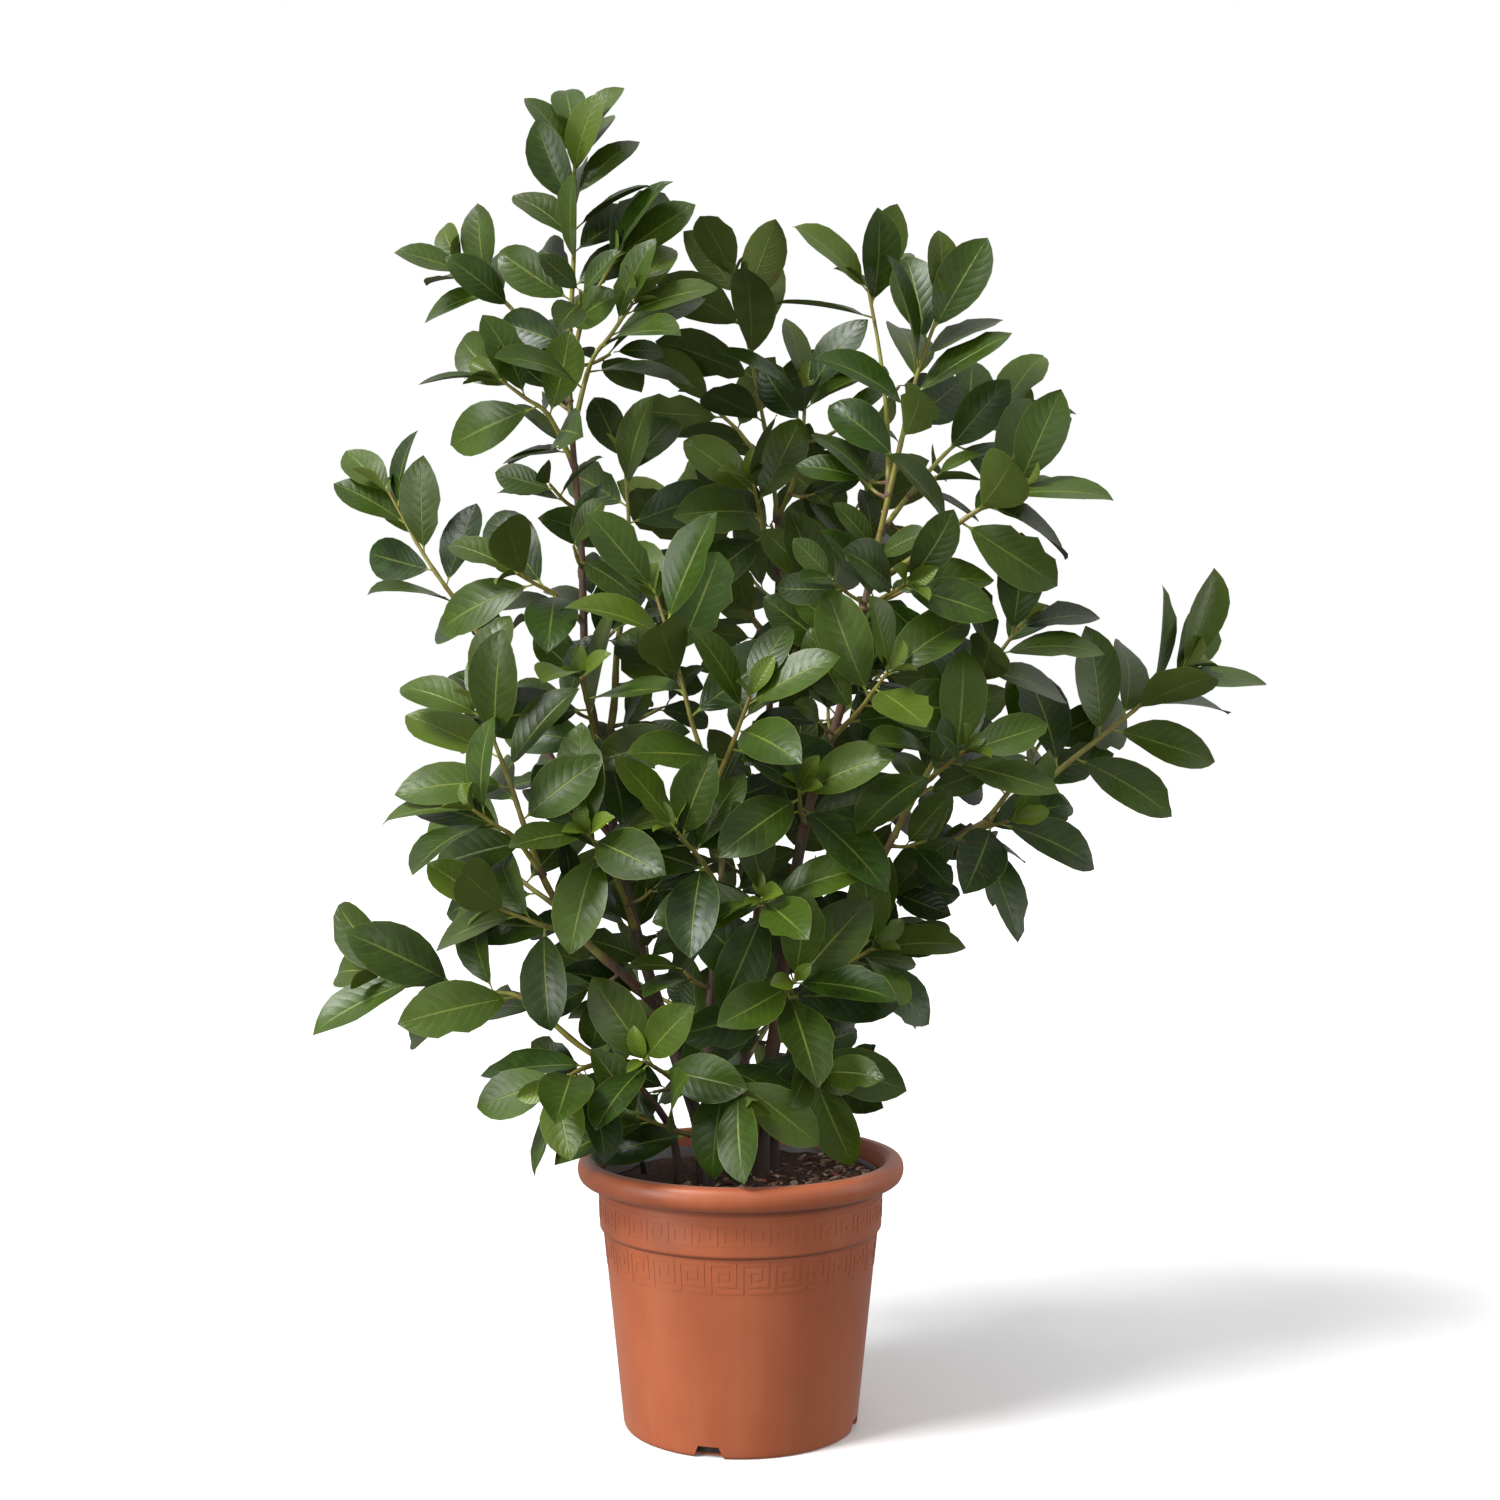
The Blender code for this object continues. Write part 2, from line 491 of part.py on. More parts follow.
def soil_height(x, y):
    """Height of the soil at this place: it rises to the right, with a few low bumps."""
    share = 0.5 + x / (2 * GROWER_TOP_RADIUS)
    level = SOIL_LEFT_HEIGHT + (SOIL_RIGHT_HEIGHT - SOIL_LEFT_HEIGHT) * share
    return level + SOIL_BUMP * math.sin(SOIL_BUMPS_ACROSS * x + 1.0) * math.cos(SOIL_BUMPS_DEEP * y - 0.6)


def build_soil(collection, cutting, stem_feet):
    """Root ball and potting soil that fills the grower's pot, with a hole for each stem and for the label."""
    floor = POT_WALL + 2 * GAP + GROWER_WALL
    clear = GROWER_WALL + 2 * GAP
    top = min(SOIL_LEFT_HEIGHT, SOIL_RIGHT_HEIGHT)
    edge = grower_radius(top) - clear
    profile = [(0.0, top)]
    profile += [(edge * share, top) for share in SOIL_RINGS]
    profile += [(edge, top - SOIL_BUMP), (grower_radius(floor) - clear, floor), (0.0, floor)]
    soil = turned("soil", profile, POT_SIDES, collection, material("potting soil", SOIL_BROWN))
    for vertex in soil.data.vertices:
        if vertex.co.z > top - 0.001:
            vertex.co.z = soil_height(vertex.co.x, vertex.co.y)
    cutters = [straight_hole(foot, head, radius, cutting) for foot, head, radius in stem_feet]
    cutters.append(add_mesh_object("label slot", label_block(2 * GAP), cutting))
    cut(soil, cutters)
    return soil


def straight_hole(foot, head, radius, collection):
    """A cutter round the buried stretch of a stem."""
    axis = head - foot
    reach = axis.length + 2 * GAP
    bm = bmesh.new()
    wide = (radius + HOLE_CLEARANCE) / math.cos(math.pi / HOLE_SIDES)
    bmesh.ops.create_cone(
        bm, cap_ends=True, segments=HOLE_SIDES, radius1=wide, radius2=wide, depth=reach)
    turn = axis.to_track_quat("Z", "Y").to_matrix().to_4x4()
    middle = foot + axis.normalized() * (reach / 2 - 2 * GAP)
    bmesh.ops.transform(bm, verts=bm.verts, matrix=Matrix.Translation(middle) @ turn)
    return add_mesh_object("stem hole", bm, collection)


def label_block(grow=0.0):
    """The plant label's block in its place, or one that is wider each way by this much."""
    bm = bmesh.new()
    bmesh.ops.create_cube(bm, size=1.0)
    scale = (LABEL_WIDTH + grow, LABEL_THICKNESS + grow, LABEL_LENGTH + grow)
    bmesh.ops.scale(bm, verts=bm.verts, vec=scale)
    bmesh.ops.translate(bm, verts=bm.verts, vec=(0.0, 0.0, LABEL_LENGTH / 2))
    lean = Matrix.Rotation(math.radians(LABEL_LEAN), 3, "Y")
    bmesh.ops.rotate(bm, verts=bm.verts, matrix=lean)
    bmesh.ops.translate(bm, verts=bm.verts, vec=LABEL_FOOT)
    return bm


def build_label(collection):
    """Narrow plastic plant label that stands in the soil."""
    return add_mesh_object("plant_label", label_block(), collection, material("label plastic", LABEL_BLUE))


def smooth_route(points, spacing):
    """A polyline through a smooth curve on the points, with corners at even distances."""
    points = [Vector(point) for point in points]
    ends = [2 * points[0] - points[1], *points, 2 * points[-1] - points[-2]]
    fine = []
    for a, b, c, d in zip(ends, ends[1:], ends[2:], ends[3:]):
        for step in range(CURVE_STEPS):
            t = step / CURVE_STEPS
            fine.append(0.5 * (2 * b + (c - a) * t + (2 * a - 5 * b + 4 * c - d) * t * t
                               + (3 * b - a - 3 * c + d) * t ** 3))
    fine.append(points[-1])
    total = sum((q - p).length for p, q in zip(fine, fine[1:]))
    count = max(2, round(total / spacing))
    corners = [fine[0]]
    walked = 0.0
    for p, q in zip(fine, fine[1:]):
        step = (q - p).length
        while len(corners) < count and walked + step >= total * len(corners) / count:
            corners.append(p.lerp(q, (total * len(corners) / count - walked) / step))
        walked += step
    corners.append(fine[-1])
    return corners


def distances(path):
    """The distance from the start to each corner of a polyline."""
    found = [0.0]
    for p, q in zip(path, path[1:]):
        found.append(found[-1] + (q - p).length)
    return found


def at_distance(path, distance):
    """The point and the direction of a polyline at a distance from its start."""
    walked = 0.0
    for p, q in zip(path, path[1:]):
        step = (q - p).length
        if walked + step >= distance:
            return p.lerp(q, (distance - walked) / step), (q - p).normalized()
        walked += step
    return path[-1].copy(), (path[-1] - path[-2]).normalized()


def nearest_on(path, point):
    """The point of a polyline that lies nearest to this one."""
    best = None
    for p, q in zip(path, path[1:]):
        along = q - p
        share = min(1.0, max(0.0, (point - p).dot(along) / along.length_squared))
        foot = p + along * share
        if best is None or (foot - point).length < (best - point).length:
            best = foot
    return best


def drawn_back(path, distance):
    """The polyline with its end moved back by a distance."""
    *most, last = path
    return [*most, last + (most[-1] - last).normalized() * distance]


def split_stem(stem, parent_path):
    """The woody and the leafy stretch of a stem, each as (corner, radius) pairs."""
    route = [Vector(point) for point in stem.route]
    if parent_path:
        route[0] = nearest_on(parent_path, route[0])
    whole = smooth_route(route, WOOD_SPACING)
    total = distances(whole)[-1]
    if not stem.parent:
        whole = [route[0], route[1], *[p for p in whole if p.z > route[1].z + WOOD_SPACING / 2]]
    cut_from = total - stem.leafy
    marks = distances(whole)
    segment = max(0, sum(mark < cut_from for mark in marks) - 1)
    middle = (marks[segment] + marks[segment + 1]) / 2
    fine_tail = [whole[segment + 1]]
    tail = whole[segment + 1:]
    if len(tail) > 1:
        fine_tail = smooth_route(tail, SHOOT_SPACING)
    last, way = at_distance(whole, middle - GAP / 2)
    first = last + way * GAP
    woody = [*whole[:segment + 1], last]
    leafy = [first, *fine_tail]

    def with_radius(path, start):
        taper = []
        for corner, mark in zip(path, distances(path)):
            share = min(1.0, (start + mark) / marks[-1])
            taper.append((corner, stem.radius + (TIP_RADIUS - stem.radius) * share ** TAPER_POWER))
        return taper

    return with_radius(woody, 0.0), with_radius(leafy, middle)


def tube(name, corners, bevel_resolution, collection):
    """A solid tube along (corner, radius) pairs, as a mesh object."""
    curve = bpy.data.curves.new(name, "CURVE")
    curve.dimensions = "3D"
    curve.bevel_depth = 1.0
    curve.bevel_resolution = bevel_resolution
    curve.use_fill_caps = True
    spline = curve.splines.new("POLY")
    spline.points.add(len(corners) - 1)
    for point, (corner, radius) in zip(spline.points, corners):
        point.co = (*corner, 1.0)
        point.radius = radius
    guide = bpy.data.objects.new(name + " axis", curve)
    collection.objects.link(guide)
    bm = bmesh.new()
    bm.from_mesh(evaluated_mesh(guide))
    bmesh.ops.remove_doubles(bm, verts=bm.verts, dist=0.00001)
    remove_object(guide)
    return add_mesh_object(name, bm, collection)


def leaf_solid(leaf, rib, extra=0.0, start=0.0):
    """A leaf as a closed loft: an upright edge at the root, two folded sections and a point at the tip."""
    bm = bmesh.new()

    def section(share, width):
        half = width * leaf.length * WIDTH_SHARE / 2 + extra
        places = ((-half, 0.0), (0.0, rib / 2), (half, 0.0), (0.0, -rib / 2))
        return [bm.verts.new(leaf.point(share, across, lift)) for across, lift in places]

    top, bottom = (bm.verts.new(leaf.point(start, 0.0, lift * ROOT_SHARE * rib / 2)) for lift in (1, -1))
    widest = section(WIDEST_ROW, 1.0)
    shoulder = section(SHOULDER_ROW, SHOULDER_SHARE)
    tip = bm.verts.new(leaf.point(1.0 + extra / leaf.length, 0.0, 0.0))
    left, upper, right, lower = widest
    corners = [(top, left, upper), (top, upper, right), (bottom, right, lower), (bottom, lower, left)]
    corners += [(top, right, bottom), (top, bottom, left)]
    for side in range(4):
        after = (side + 1) % 4
        split = (widest[side], shoulder[after]) if side % 2 == 0 else (widest[after], shoulder[side])
        corners.append((*split, widest[after] if side % 2 == 0 else widest[side]))
        corners.append((*split, shoulder[side] if side % 2 == 0 else shoulder[after]))
        corners.append((shoulder[side], shoulder[after], tip))
    for face in corners:
        bm.faces.new(face)
    bmesh.ops.recalc_face_normals(bm, faces=bm.faces)
    return bm


class Occupied:
    """What already fills space: solids by the node that they belong to."""

    def __init__(self):
        self.solids = []

    def add(self, node, bm_or_mesh):
        """Adds a solid of the node."""
        if isinstance(bm_or_mesh, bmesh.types.BMesh):
            tree = BVHTree.FromBMesh(bm_or_mesh)
            corners = [vertex.co.copy() for vertex in bm_or_mesh.verts]
        else:
            corners = [vertex.co.copy() for vertex in bm_or_mesh.vertices]
            tree = BVHTree.FromPolygons(corners, [list(face.vertices) for face in bm_or_mesh.polygons])
        self.solids.append((node, tree, *box_of(corners)))

    def meets(self, bm, skip=None, only=None):
        """Whether a closed bmesh crosses a solid, leaving out one node or looking at one alone."""
        tree = BVHTree.FromBMesh(bm)
        low, high = box_of([vertex.co for vertex in bm.verts])
        for node, other, other_low, other_high in self.solids:
            if node == skip or (only is not None and node != only):
                continue
            if any(low[i] > other_high[i] or high[i] < other_low[i] for i in range(3)):
                continue
            if tree.overlap(other):
                return True
        return False


def box_of(corners):
    """The lowest and highest corner of a box round the points."""
    low = tuple(min(corner[i] for corner in corners) for i in range(3))
    high = tuple(max(corner[i] for corner in corners) for i in range(3))
    return low, high


def facing_at(root):
    """The level way that blades face here: out of the nearer broad side, and a little sideways."""
    forward = FACING_FORWARD if root.y > MIDDLE_DEPTH else -FACING_FORWARD
    return Vector((root.x * FACING_SIDEWAYS, forward, 0.0)).normalized()


def draw_leaf(stem, path, share, index, rng, loosen):
    """One leaf of a stem, at this share of its leafy stretch, with its chances drawn."""
    total = distances(path)[-1]
    root, way = at_distance(path, total * share)
    reference = Vector((0.0, 1.0, 0.0)) if abs(way.y) < 0.8 else Vector((1.0, 0.0, 0.0))
    first = (reference - way * reference.dot(way)).normalized()
    second = way.cross(first)
    around = stem.turn + index * TURN_BETWEEN_LEAVES + rng.uniform(-1, 1) * TURN_CHANCE * (1 + 3 * loosen)
    radial = first * math.cos(around) + second * math.sin(around)
    flatten = 1 - abs(way.z)
    radial.z = radial.z * (1 - LEVEL_FLATTENING * flatten) + LEVEL_RISE * flatten
    radial.normalize()
    spread = SPREAD_LOW + (SPREAD_TIP - SPREAD_LOW) * share ** 1.3
    spread += rng.uniform(-1, 1) * SPREAD_CHANCE * (1 + 2 * loosen)
    direction = way * math.cos(spread) + radial * math.sin(spread)
    direction.z -= stem.droop * (1 - DROOP_FADE * share)
    facing = facing_at(root)
    direction -= facing * facing.dot(direction) * FLATTENING
    direction.normalize()
    upper = facing * FACING_SHARE + Vector((0.0, 0.0, UPWARD_SHARE))
    upper -= direction * upper.dot(direction)
    if upper.length < 0.25:
        upper = -radial + direction * radial.dot(direction)
    upper.normalize()
    upper.rotate(Matrix.Rotation(rng.uniform(-1, 1) * TWIST * (1 + loosen), 3, direction))
    size = stem.longest * (SIZE_AT_FOOT + SIZE_GAIN * share - SIZE_LOSS_AT_TIP * share ** 3)
    return Leaf(
        root=root,
        direction=direction,
        normal=upper,
        length=size * rng.uniform(*SIZE_CHANCE) * (1 - SHRINK_BY_LAST_TRY * loosen),
        arch=rng.uniform(*ARCH_CHANCE),
        fold=rng.uniform(*FOLD_CHANCE),
    )


def place_leaves(stem, leafy, occupied):
    """The leaves of one stem, each kept clear of all that is already there."""
    rng = random.Random(stem.name)
    node = "shoot_" + stem.name
    path = [corner for corner, _ in leafy]
    leaves = []
    for index in range(stem.leaves):
        share = FIRST_LEAF + LEAFY_STRETCH * (index / (stem.leaves - 1)) ** LEAF_CROWDING
        for attempt in range(TRIES):
            leaf = draw_leaf(stem, path, share, index, rng, attempt / TRIES)
            guard = leaf_solid(leaf, 2 * GUARD, GUARD, GUARD_START)
            blade = leaf_solid(leaf, GUARD, 0.0, BLADE_START)
            blocked = occupied.meets(guard, skip=node) or occupied.meets(blade, only=node)
            guard.free()
            blade.free()
            if not blocked:
                solid = leaf_solid(leaf, RIB_THICKNESS)
                occupied.add(node, solid)
                solid.free()
                leaves.append(leaf)
                break
    return leaves


def build_plant(collection, occupied):
    """All stems and leaves: one node of wood for each group of stems, and one node for each leafy shoot."""
    bark = material("bark", BARK)
    green = material("laurel leaf", LEAF_GREEN)
    paths = {}
    wood = {}
    shoots = []
    for stem in STEMS:
        woody, leafy = split_stem(stem, paths.get(stem.parent))
        paths[stem.name] = drawn_back([corner for corner, _ in woody], FORK_CLEARANCE)
        wood.setdefault(stem.wood, []).append(tube(stem.wood, woody, 0 if stem.parent else 1, collection))
        shoots.append((stem, leafy, tube("shoot_" + stem.name, leafy, 0, collection)))
    for name, (trunk, *arms) in wood.items():
        trunk.name = name
        union(trunk, arms)
        trunk.data.materials.append(bark)
        occupied.add(name, trunk.data)
    for stem, _, axis in shoots:
        occupied.add("shoot_" + stem.name, axis.data)
    for stem, leafy, axis in shoots:
        leaves = place_leaves(stem, leafy, occupied)
        axis.data.materials.append(green)
        pieces = [add_mesh_object("leaf", leaf_solid(leaf, RIB_THICKNESS), collection) for leaf in leaves]
        union(axis, pieces)
        axis.name = "shoot_" + stem.name


def main():
    """Builds the whole potted shrub."""
    clear_scene()
    collection = bpy.data.collections.new("potted cherry laurel")
    cutting = bpy.data.collections.new("cutters")
    for group in (collection, cutting):
        bpy.context.scene.collection.children.link(group)
    feet = [(Vector(stem.route[0]), Vector(stem.route[1]), stem.radius) for stem in STEMS if not stem.parent]
    solids = [
        build_pot(collection, cutting),
        build_grower_pot(collection),
        build_soil(collection, cutting, feet),
        build_label(collection),
    ]
    bpy.data.collections.remove(cutting)
    occupied = Occupied()
    for solid in solids:
        occupied.add(solid.name, solid.data)
    build_plant(collection, occupied)


if __name__ == "__main__":
    main()
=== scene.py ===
"""Potted cherry laurel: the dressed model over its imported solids.

Metres, +Z up. The origin is the middle of the container's flat underside, and the front is at -Y.
"""

from __future__ import annotations

import json
import logging
import math
import random
from dataclasses import dataclass, field
from enum import Enum

import bpy
from mathutils import Matrix, Vector, kdtree, noise

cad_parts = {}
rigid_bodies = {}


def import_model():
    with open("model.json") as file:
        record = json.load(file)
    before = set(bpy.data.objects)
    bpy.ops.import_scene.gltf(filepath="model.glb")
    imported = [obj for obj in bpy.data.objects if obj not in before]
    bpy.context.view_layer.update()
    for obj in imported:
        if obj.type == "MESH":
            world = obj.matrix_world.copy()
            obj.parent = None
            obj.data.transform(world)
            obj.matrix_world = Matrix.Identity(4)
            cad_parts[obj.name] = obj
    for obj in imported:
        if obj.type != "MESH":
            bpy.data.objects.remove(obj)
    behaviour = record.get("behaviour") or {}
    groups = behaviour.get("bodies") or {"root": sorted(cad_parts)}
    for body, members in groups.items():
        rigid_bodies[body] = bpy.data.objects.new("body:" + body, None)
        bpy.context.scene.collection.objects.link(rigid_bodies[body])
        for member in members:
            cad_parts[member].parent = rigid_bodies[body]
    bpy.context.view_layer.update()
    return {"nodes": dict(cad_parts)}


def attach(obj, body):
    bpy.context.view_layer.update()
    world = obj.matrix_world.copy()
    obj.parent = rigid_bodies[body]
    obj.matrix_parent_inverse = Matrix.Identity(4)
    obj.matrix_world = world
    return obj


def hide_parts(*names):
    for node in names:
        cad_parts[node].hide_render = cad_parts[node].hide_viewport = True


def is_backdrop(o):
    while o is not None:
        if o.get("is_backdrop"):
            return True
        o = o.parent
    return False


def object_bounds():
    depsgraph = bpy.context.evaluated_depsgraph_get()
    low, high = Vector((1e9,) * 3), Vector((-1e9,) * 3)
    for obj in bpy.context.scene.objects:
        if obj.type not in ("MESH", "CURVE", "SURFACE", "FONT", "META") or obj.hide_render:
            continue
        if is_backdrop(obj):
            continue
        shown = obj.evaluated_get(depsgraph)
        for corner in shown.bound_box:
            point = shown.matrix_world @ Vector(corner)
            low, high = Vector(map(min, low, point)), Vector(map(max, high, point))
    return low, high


LOG = logging.getLogger("laurel")
Pair = tuple[float, float]
Triple = tuple[float, float, float]
Colour = Triple
CENTRE = (0.0, 0.0, 0.0)
UP = (0.0, 0.0, 1.0)
MERGE_DISTANCE = 0.00002


class Signal:
    """A number on a shader socket, so that shader maths reads as an expression."""

    def __init__(self, graph: Graph, socket: bpy.types.NodeSocket) -> None:
        """Wraps one output socket of the graph."""
        self.graph = graph
        self.socket = socket

    def _maths(self, operation: str, *values: object) -> Signal:
        """Adds a Math node on these values.

        Args:
            operation: the Math node's operation.
            values: numbers or signals, in the order of the node's sockets.

        Returns:
            The node's result.
        """
        made = self.graph.node("ShaderNodeMath", {"operation": operation}, dict(enumerate(values)))
        return Signal(self.graph, made.outputs[0])

    def __add__(self, other: object) -> Signal:
        """This plus the other."""
        return self._maths("ADD", self, other)

    __radd__ = __add__

    def __sub__(self, other: object) -> Signal:
        """This minus the other."""
        return self._maths("SUBTRACT", self, other)

    def __rsub__(self, other: object) -> Signal:
        """The other minus this."""
        return self._maths("SUBTRACT", other, self)

    def __mul__(self, other: object) -> Signal:
        """This times the other."""
        return self._maths("MULTIPLY", self, other)

    def __abs__(self) -> Signal:
        """The size of this."""
        return self._maths("ABSOLUTE", self)

    def __gt__(self, other: object) -> Signal:
        """1 where this is over the other, else 0."""
        return self._maths("GREATER_THAN", self, other)

    def fract(self) -> Signal:
        """What is left of this over the whole number below it."""
        return self._maths("FRACT", self)

    def step(self, low: float, high: float) -> Signal:
        """A smooth step of this.

        Args:
            low: where the step starts, at 0.
            high: where it ends, at 1. It may be below low.

        Returns:
            A number from 0 to 1.
        """
        rising = low < high
        made = self.graph.node(
            "ShaderNodeMapRange", {"interpolation_type": "SMOOTHSTEP"},
            {"Value": self, "From Min": min(low, high), "From Max": max(low, high),
             "To Min": 0.0 if rising else 1.0, "To Max": 1.0 if rising else 0.0})
        return Signal(self.graph, made.outputs[0])


class Graph:
    """The node tree of one material with a Principled BSDF."""

    def __init__(self, name: str) -> None:
        """Makes the material.

        Args:
            name: the material's name.
        """
        self.material = bpy.data.materials.new(name)
        self.material.use_nodes = True
        self.tree = self.material.node_tree
        self.shader = self.tree.nodes["Principled BSDF"]
        self._places: bpy.types.Node | None = None

    def node(self, kind: str, settings: dict | None = None, values: dict | None = None) -> bpy.types.Node:
        """Adds a node.

        Args:
            kind: the node's type.
            settings: its properties, set first.
            values: a number, colour, socket or signal for each input, by name or index.

        Returns:
            The node.
        """
        made = self.tree.nodes.new(kind)
        for key, value in (settings or {}).items():
            setattr(made, key, value)
        for key, value in (values or {}).items():
            self.feed(made.inputs[key], value)
        return made

    def feed(self, socket: bpy.types.NodeSocket, value: object) -> None:
        """Links or sets one input.

        Args:
            socket: the input.
            value: a signal, an output socket, or a constant.
        """
        if isinstance(value, Signal):
            value = value.socket
        if isinstance(value, bpy.types.NodeSocket):
            self.tree.links.new(value, socket)
        elif socket.type == "RGBA" and not isinstance(value, float) and len(value) == 3:
            socket.default_value = (*value, 1.0)
        else:
            socket.default_value = value

    def object_place(self, scale: Vector | Triple = (1.0, 1.0, 1.0)) -> bpy.types.NodeSocket:
        """Object coordinates, stretched by a scale."""
        if self._places is None:
            self._places = self.node("ShaderNodeTexCoord")
        return self.node("ShaderNodeMapping", None,
                         {"Vector": self._places.outputs["Object"], "Scale": scale}).outputs[0]

    def height(self) -> Signal:
        """The height of the object coordinates."""
        parts = self.node("ShaderNodeSeparateXYZ", None, {0: self.object_place()})
        return Signal(self, parts.outputs[2])

    def grain(self, scale: float, detail: float = 3.0, stretch: Triple = (1.0, 1.0, 1.0),
              roughness: float = 0.55) -> Signal:
        """Noise on object coordinates.

        Args:
            scale: how many grains go into a metre.
            detail: how many finer layers it has.
            stretch: a factor on the scale for each axis.
            roughness: how strong the finer layers are.

        Returns:
            The noise, about 0.25 to 0.75.
        """
        made = self.node("ShaderNodeTexNoise", None,
                         {"Vector": self.object_place(stretch), "Scale": scale, "Detail": detail,
                          "Roughness": roughness})
        return Signal(self, made.outputs[0])

    def blend(self, share: object, first: object, second: object) -> bpy.types.NodeSocket:
        """Mixes two colours.

        Args:
            share: how much of the second there is.
            first: the colour at share 0.
            second: the colour at share 1.

        Returns:
            The mixed colour.
        """
        return self.node("ShaderNodeMix", {"data_type": "RGBA"}, {0: share, 6: first, 7: second}).outputs[2]

    def attribute(self, name: str) -> tuple[Signal, Signal, Signal]:
        """The three channels of a colour attribute."""
        read = self.node("ShaderNodeAttribute", {"attribute_name": name})
        parts = self.node("ShaderNodeSeparateColor", None, {0: read.outputs["Color"]})
        first, second, third = (Signal(self, out) for out in parts.outputs)
        return first, second, third

    def bump(self, height: Signal, distance: float, strength: float) -> bpy.types.NodeSocket:
        """A bumped normal.

        Args:
            height: the height, from 0 to 1.
            distance: what a height of 1 is, in metres.
            strength: how much of it shows.

        Returns:
            The normal.
        """
        made = self.node("ShaderNodeBump", None,
                         {"Height": height, "Distance": distance, "Strength": strength})
        return made.outputs[0]

    def dress(self, **values: object) -> bpy.types.Material:
        """Sets the shader's sockets, named with underscores for spaces, and returns the material."""
        for key, value in values.items():
            self.feed(self.shader.inputs[key.replace("_", " ").title().replace("Ior", "IOR")], value)
        return self.material


@dataclass(frozen=True)
class TerracottaPlastic:
    """Matt orange-brown moulded plastic: faint mottle, rub marks, a little dust, painted shade under rim and
    collar.
    """

    tone: Colour = (0.41, 0.105, 0.038)
    deep: Colour = (0.365, 0.09, 0.032)
    pale: Colour = (0.46, 0.14, 0.06)
    crease_shade: Colour = (0.09, 0.022, 0.01)
    dusting: float = 0.12
    under_rim: float = 0.2565
    under_rim_reach: Pair = (0.0065, 0.002)
    under_collar: float = 0.2095
    under_collar_reach: Pair = (0.0024, 0.0006)

    def material(self) -> bpy.types.Material:
        """The finish as a material."""
        graph = Graph("terracotta plastic")
        mottle = graph.grain(scale=9.0, detail=4.0).step(0.34, 0.68)
        streaks = graph.grain(scale=26.0, detail=3.0, stretch=(1.0, 1.0, 0.16)).step(0.42, 0.74)
        rubs = graph.grain(scale=150.0, detail=4.0, stretch=(1.0, 1.0, 0.25)).step(0.62, 0.8)
        colour = graph.blend(mottle, self.deep, self.tone)
        colour = graph.blend(streaks * 0.35, colour, self.pale)
        colour = graph.blend(rubs * 0.22, colour, self.pale)
        up = graph.height()
        # Painted shade: darker bands in the creases under the rim and under the collar's step.
        rim_crease = abs(up - self.under_rim).step(*self.under_rim_reach)
        collar_crease = abs(up - self.under_collar).step(*self.under_collar_reach)
        colour = graph.blend(rim_crease * 0.55, colour, self.crease_shade)
        colour = graph.blend(collar_crease * 0.5, colour, self.crease_shade)
        skin = graph.grain(scale=900.0, detail=2.0)
        return graph.dress(base_color=colour, roughness=0.44 + streaks * 0.09 + rubs * 0.12,
                           sheen_weight=self.dusting, sheen_roughness=0.4,
                           normal=graph.bump(skin + mottle * 0.6, distance=0.00022, strength=0.5))


@dataclass(frozen=True)
class GreyPlastic:
    """Thin dark grey plastic, dusty with dried soil, with painted shade towards its foot."""

    tone: Colour = (0.15, 0.14, 0.148)
    dust: Colour = (0.24, 0.2, 0.17)
    foot_shade: Colour = (0.02, 0.012, 0.009)
    foot_shade_from: float = 0.06
    foot_shade_to: float = 0.025

    def material(self) -> bpy.types.Material:
        """The finish as a material."""
        graph = Graph("grey plastic")
        dusty = graph.grain(scale=60.0, detail=4.0).step(0.45, 0.7)
        # Painted shade: darker towards the foot, where the notches look into shade.
        foot_shading = graph.height().step(self.foot_shade_from, self.foot_shade_to)
        colour = graph.blend(dusty * 0.8, self.tone, self.dust)
        grit = graph.grain(scale=420.0, detail=2.0)
        return graph.dress(base_color=graph.blend(foot_shading * 0.9, colour, self.foot_shade),
                           roughness=0.42 + dusty * 0.3,
                           normal=graph.bump(grit, distance=0.0003, strength=0.5))


@dataclass(frozen=True)
class PottingSoil:
    """Damp crumbly dark soil with reddish fibres."""

    dark: Colour = (0.022, 0.009, 0.006)
    brown: Colour = (0.13, 0.055, 0.032)
    red: Colour = (0.22, 0.06, 0.028)

    def material(self) -> bpy.types.Material:
        """The finish as a material."""
        graph = Graph("potting soil")
        crumbs = graph.grain(scale=210.0, detail=5.0, roughness=0.7)
        patches = graph.grain(scale=28.0, detail=3.0).step(0.45, 0.7)
        colour = graph.blend(crumbs.step(0.4, 0.72), self.dark, self.brown)
        colour = graph.blend(patches * crumbs.step(0.48, 0.66) * 0.7, colour, self.red)
        rise = crumbs + graph.grain(scale=700.0, detail=3.0) * 0.5
        return graph.dress(base_color=colour, roughness=0.86 + crumbs * 0.12,
                           normal=graph.bump(rise, distance=0.0022, strength=0.9))


@dataclass(frozen=True)
class ChipStock:
    """Pale, pink and brown chips of bark, each with its own shade from the attribute shade."""

    brown: Colour = (0.12, 0.05, 0.03)
    pale: Colour = (0.82, 0.64, 0.45)
    pink: Colour = (0.62, 0.2, 0.16)

    def material(self) -> bpy.types.Material:
        """The finish as a material."""
        graph = Graph("bark chips")
        paleness, pinkness, light = graph.attribute("shade")
        fibre = graph.grain(scale=500.0, detail=3.0, stretch=(1.0, 0.3, 1.0))
        colour = graph.blend(paleness, self.brown, self.pale)
        colour = graph.blend(pinkness, colour, self.pink)
        colour = graph.blend(fibre.step(0.35, 0.7) * 0.4 + light * 0.2, colour, self.brown)
        return graph.dress(base_color=colour, roughness=0.72 + fibre * 0.2,
                           normal=graph.bump(fibre, distance=0.0006, strength=0.8))


